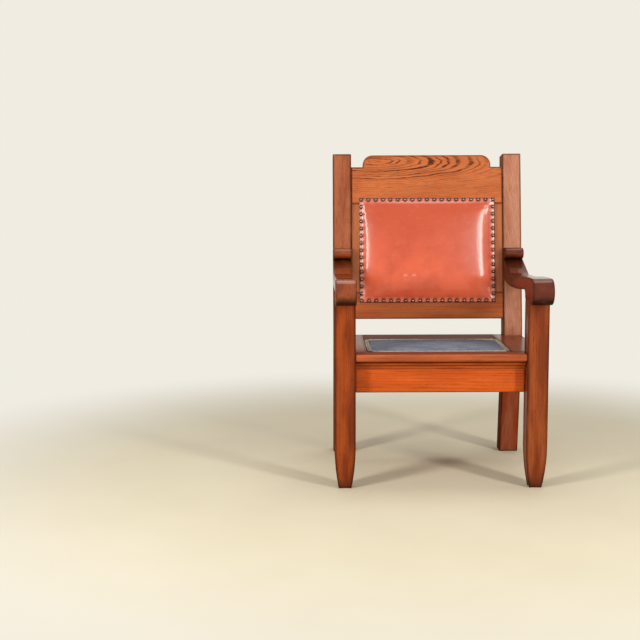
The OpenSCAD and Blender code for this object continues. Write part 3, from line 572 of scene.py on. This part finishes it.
# Blown up from inside as padding does, held where pinned says, and never moved further than cap
def puff(bm, name, pinned, pressure, cap):
    mesh = as_mesh(bm, name)
    work = into_scene(name, mesh)
    start = [v.co.copy() for v in mesh.vertices]
    holds = work.vertex_groups.new(name="nailed")
    for v in mesh.vertices:
        if pinned(v.co):
            holds.add([v.index], 1.0, "REPLACE")
    cloth = work.modifiers.new("padding", "CLOTH")
    settings = {"quality": 6, "mass": 0.3, "use_pressure": True,
                "uniform_pressure_force": pressure, "tension_stiffness": 15,
                "compression_stiffness": 15, "shear_stiffness": 5, "bending_stiffness": 2,
                "vertex_group_mass": "nailed"}
    for key, value in settings.items():
        setattr(cloth.settings, key, value)
    cloth.settings.effector_weights.gravity = 0
    cloth.collision_settings.use_collision = False
    for step in range(1, puff_frames + 1):
        scene.frame_set(step)
    shaped = work.evaluated_get(bpy.context.evaluated_depsgraph_get())
    moved = [v.co.copy() for v in shaped.data.vertices]
    work.modifiers.clear()
    for v, first, last in zip(mesh.vertices, start, moved):
        away = last - first
        v.co = first + (away if away.length < cap else away * (cap / away.length))
    scene.frame_set(1)
    made = bmesh.new()
    made.from_mesh(mesh)
    bpy.data.objects.remove(work)
    return made


# A finished sheet is turned face up, moved to its place and given its thickness
def thicken(bm, place, thickness):
    if sum(face.normal.z for face in bm.faces) < 0:
        bmesh.ops.reverse_faces(bm, faces=bm.faces[:])
    move(bm, place)
    bmesh.ops.solidify(bm, geom=bm.faces[:], thickness=thickness)


# The pad under a sheet: the part of the sheet over it, lowered and closed down to a flat foot
def pad_under(sheet, covers, drop, foot, place):
    pad = sheet.copy()
    for v in list(pad.verts):
        if not covers(v.co):
            pad.verts.remove(v)
    for v in pad.verts:
        v.co.z -= drop
    skirt = bmesh.ops.extrude_edge_only(pad, edges=[e for e in pad.edges if e.is_boundary])
    for v in new_verts(skirt):
        v.co.z = foot
    bmesh.ops.holes_fill(pad, edges=[e for e in pad.edges if e.is_boundary])
    move(pad, place)
    return pad


# Nails along a rectangle's rim, corners first, from its half sizes and its numbers of gaps
def nail_places(hx, hy, nx, ny, drawn_in=0.0):
    return ([(x * (hx - drawn_in), y * (hy - drawn_in)) for x in (-1, 1) for y in (-1, 1)]
            + [(-hx + 2 * hx * i / nx, side * hy) for i in range(1, nx) for side in (-1, 1)]
            + [(side * hx, -hy + 2 * hy * j / ny) for j in range(1, ny) for side in (-1, 1)])


def nearest_nail(x, s):
    return min(hypot(x - a, s - b) for a, b in nail_row)


dress("back_board", softwood("pine_back_board", (-81, 0, 0), (0, -0.3, 0.2)))
stuffing, given, result = group_of("curled_hair", {"Vector": ["Vector"]},
                                   {"Color": ["Color"], "Float": ["Height"]})
strands = noise(stuffing, given["Vector"], (240, 60, 400), 4, 0.7)
fill(stuffing, result, {"Color": blend(stuffing, strands, srgb(58, 42, 28), srgb(142, 112, 78)),
                        "Height": strands})

# The hide is shaped before the pad, because the pad fills it
leather_mid, leather_x, leather_s = 0.30297, 0.2390, 0.18497
nail_x, nail_s, field_x, field_s, back_crown = 0.2330, 0.17897, 0.22665, 0.17262, 0.032
pad_side, pad_low, pad_high = 0.2135, -0.1475, 0.1635
hide_t, nailed_h, held_beyond, still_beyond = 0.0018, 0.002, 0.003, 0.004
nail_row = nail_places(nail_x, nail_s, 18, 14)
on_face = (lean @ Matrix.Translation((0, face_y, leather_mid))
           @ Matrix.Rotation(radians(90), 4, "X"))
hide = flat_sheet(leather_x, leather_s, 0.0042)
for v in hide.verts:
    v.co.z = nailed_h + (0.9 * back_crown * dome(v.co.x / field_x, 2.8)
                         * dome(v.co.y / field_s, 2.3))
hide = puff(hide, "hide_work",
            lambda p: abs(p.x) > field_x + held_beyond or abs(p.y) > field_s + held_beyond,
            pressure=0.9, cap=0.006)
for _ in range(24):
    bmesh.ops.smooth_vert(hide, verts=[v for v in hide.verts
                                       if abs(v.co.x) < field_x - still_beyond
                                       and abs(v.co.y) < field_s - still_beyond],
                          factor=0.5, use_axis_z=True)

# Flat under the nails and puckered between them. Painted highlights lighten the puckers and the
# sides, two scuffs lie low on the left, and painted shade darkens the rim, with its dark cut edge,
# and the leather round each nail
wear_and_highlight = hide.verts.layers.float.new("wear_and_highlight")
rim_and_nail_shade = hide.verts.layers.float.new("rim_and_nail_shade")
for v in hide.verts:
    x, s = v.co.x, v.co.y
    inside = max(0.0, min(field_x - abs(x), field_s - abs(s)))
    rim = min(leather_x - abs(x), leather_s - abs(s))
    gap = nearest_nail(x, s)
    pucker = clamp((gap - 0.0058) / 0.0068) ** 1.5
    v.co.z += 0.0022 * pucker * max(0.0, 1 - inside / 0.020) * min(1.0, rim / 0.004)
    if gap < 0.0064:
        v.co.z = nailed_h
    v.co.z = max(v.co.z, nailed_h)
    scuff = max(1 - ((x + a) / 0.010) ** 2 - ((s + 0.091) / 0.0042) ** 2 for a in (0.079, 0.049))
    at_side = clamp((abs(x) - 0.2225) / 0.006)
    v[wear_and_highlight] = max((0.3 + 0.45 * at_side) * pucker * max(0.0, 1 - inside / 0.009),
                    0.2 * at_side * max(0.0, 1 - inside / 0.030), 0.5 * max(0.0, scuff))
    v[rim_and_nail_shade] = max(1 - (rim - 0.0003) / 0.0014, 0.8 * min(1.0, (0.0088 - gap) / 0.0016), 0.0)
bmesh.ops.smooth_vert(hide, verts=hide.verts[:], factor=0.25, use_axis_z=True)
for v in hide.verts:
    v.co.z = min(max(v.co.z, nailed_h), back_crown + 0.006)
stuffed = pad_under(hide, lambda p: abs(p.x) <= pad_side and pad_low < p.y < pad_high,
                    drop=0.0026, foot=-0.0135, place=on_face)
stand(stuffed, "back_pad", ["back_stuffing"], hair("curled_hair_back"))


# --- Back leather ---
# One hide, about 2 mm thick, wetted and pulled over the pad and held by a row of domed nails an
# inch apart. It swells right behind the nails and puckers between them, and its edge lies flat.
leather, given, result = group_of(
    "upholstery_leather",
    {"Vector": ["Vector"], "Color": ["Colour", "Deep", "Pale"], "Float": ["Wear"]},
    {"Color": ["Color"], "Float": ["Roughness", "Height"]})
spot = given["Vector"]
cells = add(leather, "TexVoronoi", {"feature": "DISTANCE_TO_EDGE"},
            {"Vector": spot, "Scale": 900.0, "Randomness": 0.9})
pebble = fade(leather, cells.outputs["Distance"], 0.0, 0.16)
clouds = noise(leather, spot, (9, 9, 9), 4, 0.6)
veins = noise(leather, spot, (34, 34, 60), 5, 0.65)
mottled = given["Colour"]
# Deep clouds and pale worn veins; pale scuffs and painted highlights on the puckers and sides; a
# darker pebble; and painted shade darkening the rim and the leather round each nail
for factor, colour in (
        (fade(leather, clouds, 0.36, 0.68, 0.0, 0.55), given["Deep"]),
        (times(leather, fade(leather, veins, 0.5, 0.75, 0, 0.35), given["Wear"]), given["Pale"]),
        (attribute(leather, "wear_and_highlight"), given["Pale"]),
        (calc(leather, "MULTIPLY_ADD", pebble, -0.10, 0.10), given["Deep"]),
        (times(leather, attribute(leather, "rim_and_nail_shade"), 0.85), srgb(62, 22, 14))):
    mottled = blend(leather, factor, mottled, colour)
fill(leather, result, {
    "Color": mottled, "Roughness": calc(leather, "MULTIPLY_ADD", clouds, 0.12, 0.30),
    "Height": calc(leather, "ADD", times(leather, pebble, 0.35), times(leather, veins, 0.5))})


# foot is a lighter colour for the lower end of the back, if it differs: painted light where the
# lamps light less, while the top, which they light more, keeps the darker colour
def tanned(name, colour, deep, pale, wear, foot=None):
    material, tree, shader, place = surface(name)
    height = add(tree, "SeparateXYZ", {}, {0: place}).outputs["Z"]
    tone = blend(tree, fade(tree, height, 0.58, 0.90), srgb(*(foot or colour)), srgb(*colour))
    skin = draw_with(tree, shader, leather, 0.22, 0.0006,
                     {"Vector": place, "Colour": tone, "Deep": srgb(*deep), "Pale": srgb(*pale),
                      "Wear": wear})
    fill(tree, shader, {"Roughness": skin["Roughness"], "Coat Weight": 0.75,
                        "Coat Roughness": 0.16, "Specular IOR Level": 0.25})
    return material


bmesh.ops.recalc_face_normals(hide, faces=hide.faces[:])
thicken(hide, on_face, hide_t)
# The hide is painted lighter low down and darker at the top, painted light that evens out the lamps
stand(hide, "back_hide", ["back_leather"],
                tanned("red_brown_leather", (190, 74, 37), (182, 66, 34), (240, 188, 174), 0.2,
                       (232, 101, 64)))


# --- Back nails ---
# Domed iron nails, bronzed almost black, set by eye an inch apart. Their square shanks go through
# the leather into the frame, and only the heads show, rubbed a little on top and painted lighter
# there as a highlight.
def domed_nail(head_d, head_h, shank, sides=14):
    bm = bmesh.new()
    wear_and_highlight = bm.verts.layers.float.new("wear_and_highlight")
    profile = [bm.verts.new((head_d / 2 * cos(radians(a)), 0, head_h * sin(radians(a))))
               for a in (0, 22, 45, 68, 90)]
    line = [bm.edges.new(pair) for pair in zip([bm.verts.new((0, 0, 0)), *profile], profile)]
    bmesh.ops.spin(bm, geom=bm.verts[:] + line, cent=(0, 0, 0), axis=(0, 0, 1), angle=2 * pi,
                   steps=sides, use_merge=True)
    bmesh.ops.remove_doubles(bm, verts=bm.verts[:], dist=1e-6)
    for v in bm.verts:
        # The top of the dome is marked: bare worn metal, and a painted highlight
        v[wear_and_highlight] = max(0.0, v.co.z / head_h - 0.75) * 4
    add_box(bm, (-0.0009, -0.0009, -shank), (0.0009, 0.0009, 0))
    bmesh.ops.recalc_face_normals(bm, faces=bm.faces[:])
    return as_mesh(bm, "one_nail")


def row_of_nails(nail, on, places, lift):
    bm = bmesh.new()
    for x, y in places:
        driven = nail.copy()
        driven.transform(on @ Matrix.Translation((x, y, lift)))
        bm.from_mesh(driven)
        bpy.data.meshes.remove(driven)
    return bm


# colour is the tarnished metal and worn the bare one, which shows on top by up to amount; on nail
# heads that top stands for wear and for a painted highlight
def metal(name, colour, worn, roughness, amount):
    material, tree, shader, place = surface(name)
    tarnish = noise(tree, place, (420, 420, 420), 3, 0.6)
    bare = calc(tree, "MAXIMUM", fade(tree, tarnish, 0.5, 0.8, 0, amount * 0.5),
                times(tree, attribute(tree, "wear_and_highlight"), amount))
    fill(tree, shader, {
        "Base Color": blend(tree, bare, srgb(*colour), srgb(*worn)), "Metallic": 1.0,
        "Roughness": fade(tree, tarnish, 0.3, 0.8, roughness - 0.08, roughness + 0.16)})
    return material


bronzed = metal("bronzed_iron", (34, 20, 15), (196, 150, 130), 0.36, 0.75)
big_nail = domed_nail(0.0125, 0.004, 0.014)
stand(row_of_nails(big_nail, on_face, nail_row, nailed_h), "front_row_of_nails", ["back_nails"],
      bronzed)


# --- Outside back ---
# A second piece of the same leather closes the back from behind. It is drawn flat over the frame
# and nailed like the front, so it only quilts slightly between the nails.
behind = (lean @ Matrix.Translation((0, back_y, leather_mid))
          @ Matrix.Rotation(radians(-90), 4, "X"))
outer = flat_sheet(leather_x, leather_s, 0.005)
for v in outer.verts:
    x, s = v.co.x, v.co.y
    inside = max(0.0, min(nail_x - abs(x), nail_s - abs(s)))
    rim = min(leather_x - abs(x), leather_s - abs(s))
    quilt = clamp((nearest_nail(x, s) - 0.005) / 0.008) ** 2 * max(0.0, 1 - inside / 0.02)
    v.co.z = 0.0021 + (0.0012 * quilt * min(1.0, rim / 0.006)
                       + 0.003 * min(1.0, inside / 0.06) ** 0.7)
bmesh.ops.smooth_vert(outer, verts=outer.verts[:], factor=0.4, use_axis_z=True)
thicken(outer, behind, hide_t)
stand(outer, "outside_back_hide", ["outside_back_leather"],
               tanned("red_brown_leather_outside", (200, 78, 46), (168, 60, 36), (226, 158, 132),
                      0.4))
stand(row_of_nails(big_nail, behind, nail_row, nailed_h), "rear_row_of_nails",
      ["outside_back_nails"], bronzed)


# --- Seat rails ---
# The apron, two side rails and a rear rail are plain oak boards on edge, doweled into legs and
# posts. The apron's show face is the brightest wood of the chair, with a straight fine grain.
rail_z, board_z, apron_y, rear_y0, rear_y1 = 0.303, 0.406, 0.046, 0.478, 0.500
side_rail_in, side_rail_out = 0.3025, 0.3245


def plank(low, high, soft=0.0012):
    bm = add_box(bmesh.new(), low, high)
    move(bm, Matrix.Translation((0, -SET_BACK, 0)))
    ease(bm, bm.edges[:], soft, 2)
    return bm


stand(plank((-leg_in, apron_y, rail_z), (leg_in, leg_d, board_z)), "apron_board", ["front_apron"],
      oak("oak_apron", (-90, 0.3, 1.2), (0.5, -0.16, 0.30), (208, 94, 30), (184, 76, 26),
          (120, 48, 18), ring_width=0.003, waviness=0.007, rings=0.35, pores=0.6, blotches=0.6,
          dirt=0.95))
for side, word in ((-1, "left"), (1, "right")):
    rail = sawn([(leg_d, rail_z), (post_front(rail_z), rail_z),
                 (post_front(board_z) + 0.001, board_z), (leg_d, board_z)],
                side * side_rail_in, side * side_rail_out)
    ease(rail, sharp_edges(rail), 0.0012, 2)
    stand(rail, word + "_side_rail", ["side_rail_" + word],
          oak("oak_side_rail_" + word, (0, 0, -90), (0.4 * side, 0.3135 * side + 0.07, -0.33),
              (166, 78, 36), (130, 54, 24), (84, 32, 14), ring_width=0.0045, rings=0.4))
stand(plank((-post_in, rear_y0, rail_z), (post_in, rear_y1, board_z)), "rear_seat_rail",
      ["rear_rail"],
      oak("oak_rear_rail", (-90, 1.0, 0), (1.9, -0.28, 0.22), (172, 82, 42), (132, 56, 28),
          (86, 34, 16), ring_width=0.005, rings=0.4))


# --- Dowels, corner blocks and screws ---
# Beech dowels in the rail ends, softwood blocks glued and screwed into the four corners, steel
# screws, and oak plugs over the arm screws. Their CAD shapes are right, so they only get a finish.
dress("rail_dowels", oak("beech_dowels", (0, 0, 0), (0, 0.2, 0.2), (206, 166, 118),
                         (196, 152, 104), (160, 112, 70), ring_width=0.004, rings=0.2, pores=0.1,
                         blotches=0.3, dirt=0.0, polish=0.0))
block_wood = softwood("pine_blocks", (0, 90, 0), (0.2, 0.25, 0.3))
for word in ("front_left", "front_right", "rear_left", "rear_right"):
    dress("corner_block_" + word, block_wood)
screw_steel = metal("screw_steel", (128, 130, 134), (92, 78, 66), 0.34, 0.6)
for word in ("corner_block_screws", "cleat_screws", "panel_screws", "arm_screws"):
    dress(word, screw_steel)
dress("arm_screw_plugs", oak("oak_plugs", (0, 0, -90), (0.2, 0.1, -0.6), (150, 70, 36),
                             (110, 46, 22), (66, 26, 12), ring_width=0.003, rings=0.5))


# --- Moulding and seat boards ---
# The seat is a frame of four oak boards on the rails. The front one has a rounded nose, and an
# oak moulding with a bead and a flat band fills the corner under it.
fascia_y, fascia_z0, fascia_z1, nose_y, nose_r = 0.042, 0.379, 0.390, 0.014, 0.010
bead_y, bead_z, bead_r = 0.033, 0.397, 0.0045
front_board_end, back_board_y, post_notch = 0.072, 0.367, 0.4655
side_board_in, side_board_out = 0.230, 0.330
moulding = sawn([(apron_y, fascia_z0), (apron_y, board_z), (bead_y, board_z),
                 *arc((bead_y, bead_z), bead_r, 90, 270, 10), (fascia_y, fascia_z1),
                 (fascia_y, fascia_z0)], -leg_in, leg_in)
ease(moulding, [e for e in sharp_edges(moulding, 0.9) if reach(e, 0) > 0.1], 0.0006, 2, 0.0012)
stand(moulding, "bead_moulding", ["front_moulding"],
      oak("oak_moulding", (-90, 1.0, 0), (2.7, -0.38, 0.1), (186, 86, 32), (168, 72, 26),
          (92, 36, 14), ring_width=0.004, rings=0.3, blotches=0.3, dirt=0.9))
nose = sawn([(front_board_end, board_z), (front_board_end, seat_h),
             *arc((nose_y, seat_h - nose_r), nose_r, 90, 180, 8),
             *arc((nose_y, board_z + nose_r), nose_r, 180, 270, 8)], -leg_in, leg_in)
ease(nose, sharp_edges(nose, 0.9), 0.0010, 2, 0.0012)
stand(nose, "nosed_front_board", ["seat_front_board"],
      oak("oak_front_board", (0, 0.6, 0), (3.1, 0.36, -0.54), (126, 56, 26), (146, 64, 30),
          (84, 36, 18), ring_width=0.0045, waviness=0.008, rings=0.45, pores=0.6, dirt=0.85,
          rough=0.36, polish=0.04, gloss=0.03, low=((184, 92, 46), 0.4284, 0.4298),
          low_polish=0.4))
plan = [(side_board_in, front_board_end), (leg_in, front_board_end), (leg_in, leg_d),
        (side_board_out, leg_d), (side_board_out, post_notch), (post_in, post_notch),
        (post_in, rear_y1), (side_board_in, rear_y1)]
for side, word in ((-1, "left"), (1, "right")):
    board = pushed([(side * x, y - SET_BACK, board_z) for x, y in plan], (0, 0, seat_h - board_z))
    # The 6 mm dark border beside each edge is dirt, and painted shadow of the gap round the pad
    ease(board, sharp_edges(board), 0.0013, 2, 0.006)
    stand(board, word + "_seat_board", ["seat_side_board_" + word],
          oak("oak_seat_board_" + word, (0, 0, -90), (0.7 * side, 0.5, -0.50), (128, 58, 30),
              (98, 42, 21), (62, 26, 13), ring_width=0.0048, rings=0.4, pores=0.6, dirt=1.0,
              rough=0.26, polish=0.3, gloss=0.05))
stand(plank((-side_board_in, back_board_y, board_z), (side_board_in, rear_y1, seat_h), 0.0013),
      "rear_seat_board", ["seat_back_board"],
      oak("oak_back_board", (0, 0.5, 0), (1.3, -0.05, -0.50), (104, 46, 24), (82, 35, 18),
          (52, 22, 11), ring_width=0.0052, rings=0.4, pores=0.6, dirt=1.0, rough=0.4, polish=0.02,
          gloss=0.02))


# --- Cleats and seat panel ---
# Softwood cleats are screwed under the seat boards, and the panel of the pad rests on them and is
# screwed from below. They are seen only from underneath and keep their CAD shapes.
cleat_wood = softwood("pine_cleats", (0, 0, 0), (0.6, 0.2, -0.3))
for word in ("front", "back", "left", "right"):
    dress("seat_cleat_" + word, cleat_wood)
dress("seat_panel", softwood("pine_panel", (0, 0, 0), (0.1, 0.4, -0.5)))


# --- Seat pad ---
# A thin layer of stuffing on the panel under a blue-grey woven cloth, pulled tight so that it
# crowns only a little. The cloth's raw edge lies under the braid.
pad_mid, panel_top, pad_x, pad_y, pad_r = 0.2195 - SET_BACK, 0.428, 0.2285, 0.146, 0.026
swell_x, swell_y, cloth_x, cloth_y = 0.2117, 0.1292, 0.2199, 0.1374
cloth_h, cloth_top, wadding_x, wadding_y = 0.0015, 0.0125, 0.200, 0.118
on_seat = Matrix.Translation((0, pad_mid, panel_top))
cover = flat_sheet(cloth_x, cloth_y, 0.005)
for v in cover.verts:
    v.co.z = cloth_h + 0.0090 * dome(v.co.x / swell_x, 3.5) * dome(v.co.y / swell_y, 3.5)
cover = puff(cover, "cover_work",
             lambda p: abs(p.x) > swell_x - 0.001 or abs(p.y) > swell_y - 0.001,
             pressure=0.5, cap=0.002)
for v in cover.verts:
    v.co.z = min(max(v.co.z, cloth_h), cloth_top)
wadding = pad_under(cover, lambda p: abs(p.x) <= wadding_x and abs(p.y) <= wadding_y,
                    drop=0.0018, foot=0.0001, place=on_seat)
stand(wadding, "seat_wadding", ["seat_stuffing"], hair("curled_hair_seat"))
thicken(cover, on_seat, 0.0013)

# Warp and weft cross in turn. Cloth is faded in patches, and darker towards the back of the seat
weave, given, result = group_of(
    "plain_weave",
    {"Vector": ["Vector"], "Color": ["Warp", "Weft", "Faded", "Fresh"],
     "Float": ["Thread", "Back Shade"]},
    {"Color": ["Color"], "Float": ["Height"]})
spot = given["Vector"]
parts = add(weave, "SeparateXYZ", {}, {0: spot}).outputs
turns = [times(weave, calc(weave, "DIVIDE", parts[axis], given["Thread"]), pi) for axis in (0, 1)]
over = times(weave, *[calc(weave, "SINE", turn) for turn in turns])
gaps = times(weave, *[calc(weave, "ABSOLUTE", calc(weave, "COSINE", turn)) for turn in turns])
patchy = noise(weave, spot, (16, 34, 34), 5, 0.7)
kept = noise(weave, spot, (6, 9, 9), 2, 0.5)
slubs = noise(weave, spot, (60, 900, 900), 2)
shade = blend(weave, fade(weave, over, -0.5, 0.5), given["Warp"], given["Weft"])
for factor, colour in (
        (fade(weave, kept, 0.42, 0.66, 0, 0.6), given["Fresh"]),
        (fade(weave, patchy, 0.36, 0.7, 0, 0.66), given["Faded"]),
        (times(weave, slubs, 0.3), given["Faded"]),
        (fade(weave, parts[1], -0.14, 0.05, 0, given["Back Shade"]), (0.045, 0.06, 0.07, 1))):
    shade = blend(weave, factor, shade, colour)
fill(weave, result, {
    "Color": shade, "Height": calc(weave, "ADD", calc(weave, "MULTIPLY_ADD", over, 0.4, 0.5),
                                   times(weave, gaps, -0.5))})


def woven(name, warp, weft, faded, fresh, thread, depth, back_shade=0.0):
    material, tree, shader, place = surface(name)
    draw_with(tree, shader, weave, 0.6, depth,
              {"Vector": place, "Warp": srgb(*warp), "Weft": srgb(*weft), "Faded": srgb(*faded),
               "Fresh": srgb(*fresh), "Thread": thread, "Back Shade": back_shade})
    fill(tree, shader, {"Roughness": 0.82, "Specular IOR Level": 0.12, "Sheen Weight": 0.08})
    return material


stand(cover, "seat_cloth_cover", ["seat_cover"],
                woven("blue_grey_cloth", (90, 101, 120), (68, 82, 104), (138, 140, 152),
                      (66, 102, 132), 0.0011, 0.0003, 0.86))


# --- Braid and its nails ---
# A flat woven braid of two cords with a plait between them covers the cloth's edge. It turns the
# corners in one length, and small brass nails hold it about an inch apart.
braid_in, braid_w, braid_h, cord_h, cord_w, plaits = 0.0004, 0.0124, 0.0028, 0.0011, 0.14, 240
brass_x, brass_y, brass_h = 0.222, 0.1395, 0.0032


# The point at a share of the way round the pad, so far inside its rim
def round_the_pad(share, inset):
    hx, hy, r = pad_x - inset, pad_y - inset, pad_r - inset
    straight_x, straight_y, bend = 2 * (pad_x - pad_r), 2 * (pad_y - pad_r), pi * pad_r / 2
    run = (share % 1.0) * (2 * (straight_x + straight_y) + 4 * bend)
    centres = ((hx - r, hy - r), (r - hx, hy - r), (r - hx, r - hy), (hx - r, r - hy))
    for quarter, (cx, cy) in enumerate(centres):
        turn = quarter * pi / 2
        straight = (straight_y, straight_x)[quarter % 2]
        if run <= straight:
            p = Matrix.Rotation(turn, 3, "Z") @ Vector((r, run - straight, 0))
            return cx + p.x, cy + p.y
        run -= straight
        if run <= bend:
            a = turn + run / pad_r
            return cx + r * cos(a), cy + r * sin(a)
        run -= bend
    return hx, r - hy


braid = bmesh.new()
bmesh.ops.create_grid(braid, x_segments=720, y_segments=12, size=0.5)

# Two round cords run along its edges, with the plait's small waves between them
for v in braid.verts:
    share, width = v.co.x + 0.5, v.co.y + 0.5
    cords = cord_h * (max(0, 1 - abs(width - cord_w) / cord_w) ** 0.5
                      + max(0, 1 - abs(width - 1 + cord_w) / cord_w) ** 0.5)
    turn = share * 2 * pi * plaits
    plait = 0.0004 * sin(turn + 9 * width) * max(0, 1 - abs(2 * width - 1) ** 4)
    height = braid_h + cords * (1 + 0.25 * sin(turn)) + plait
    v.co = (*round_the_pad(share, braid_in + braid_w * width),
            height if 0.001 <= width <= 0.999 else braid_h - 0.001)
bmesh.ops.remove_doubles(braid, verts=braid.verts[:], dist=2e-5)
bmesh.ops.recalc_face_normals(braid, faces=braid.faces[:])
thicken(braid, on_seat, 0.0012)
stand(braid, "pad_braid", ["seat_gimp"],
      woven("grey_beige_braid", (186, 178, 160), (158, 150, 134), (130, 128, 120),
            (176, 168, 150), 0.0009, 0.0004))
brass = metal("yellow_brass", (126, 102, 58), (188, 160, 100), 0.34, 0.6)
stand(row_of_nails(domed_nail(0.006, 0.002, 0.011, 10), on_seat,
                   nail_places(brass_x, brass_y, 17, 11, drawn_in=0.0057), brass_h),
      "brass_braid_nails", ["seat_nails"], brass)


# --- Studio ---
# A plain pale floor that fades into a pale backdrop, two tall soft lamps in front, left and right,
# weak ones in front and above, and the photograph's viewpoint.
def seen_by_lens(tree):
    ray = add(tree, "LightPath").outputs
    return calc(tree, "MAXIMUM", ray["Is Camera Ray"],
                calc(tree, "MAXIMUM", ray["Is Glossy Ray"], ray["Is Transmission Ray"]))


backdrop = srgb(240, 236, 226)
ground = bmesh.new()
bmesh.ops.create_circle(ground, cap_ends=True, segments=96, radius=30)
floor = into_scene("pale_floor", as_mesh(ground, "pale_floor"))
material, tree, shader, place = surface("pale_floor")
tree.nodes.remove(shader)
near = add(tree, "VectorMath", {"operation": "LENGTH"}, {0: place}).outputs["Value"]
dust = noise(tree, place, (3, 3, 3), 4, 0.6)
matt = add(tree, "BsdfDiffuse", {},
           {"Color": blend(tree, dust, srgb(220, 210, 182), srgb(230, 221, 194))})
glow = add(tree, "Emission", {}, {"Color": backdrop, "Strength": 1.0})
mixed = add(tree, "MixShader", {},
            {0: times(tree, seen_by_lens(tree), fade(tree, near, 0.9, 2.2)),
             1: matt.outputs[0], 2: glow.outputs[0]})
fill(tree, tree.nodes["Material Output"], {"Surface": mixed.outputs[0]})
floor.data.materials.append(material)

world = bpy.data.worlds.new("pale_surround")
scene.world = world
world.use_nodes = True
tree = world.node_tree
fill(tree, tree.nodes["Background"],
     {"Color": blend(tree, seen_by_lens(tree), (0.37, 0.37, 0.38, 1.0), backdrop)})

warm = (1.0, 0.97, 0.93)
for name, place, aim, width, height, watts, colour in (
        ("left_softbox", (-2.3, -2.1, 1.55), (0, 0, 0.6), 0.5, 2.1, 62, warm),
        ("right_softbox", (1.9, -2.5, 1.7), (0, 0, 0.6), 0.36, 1.9, 56, warm),
        ("front_softbox", (1.5, -2.75, 1.4), (0.1, 0, 0.7), 0.9, 1.2, 4, warm),
        ("top_softbox", (0.1, 0.5, 3.4), (0, 0, 0), 1.8, 1.8, 28, (1.0, 0.99, 0.97))):
    light = bpy.data.lights.new(name, "AREA")
    light.shape, light.size, light.size_y = "RECTANGLE", width, height
    light.energy, light.color = watts, colour
    holder = into_scene(name, light)
    holder.location = place
    holder.rotation_euler = (Vector(aim) - Vector(place)).to_track_quat("-Z", "Y").to_euler()

lens = bpy.data.cameras.new("photograph_view")
lens.lens, lens.sensor_width = 65.47, 36.0
camera = into_scene("photograph_view", lens)
camera.matrix_world = (Matrix.Translation((-0.3862, -3.8716, 0.9624))
                       @ Matrix.Rotation(radians(-0.09), 4, "Z")
                       @ Matrix.Rotation(radians(83.33), 4, "X")
                       @ Matrix.Rotation(radians(-0.198), 4, "Z"))
scene.camera = camera
scene.view_settings.view_transform = "Standard"
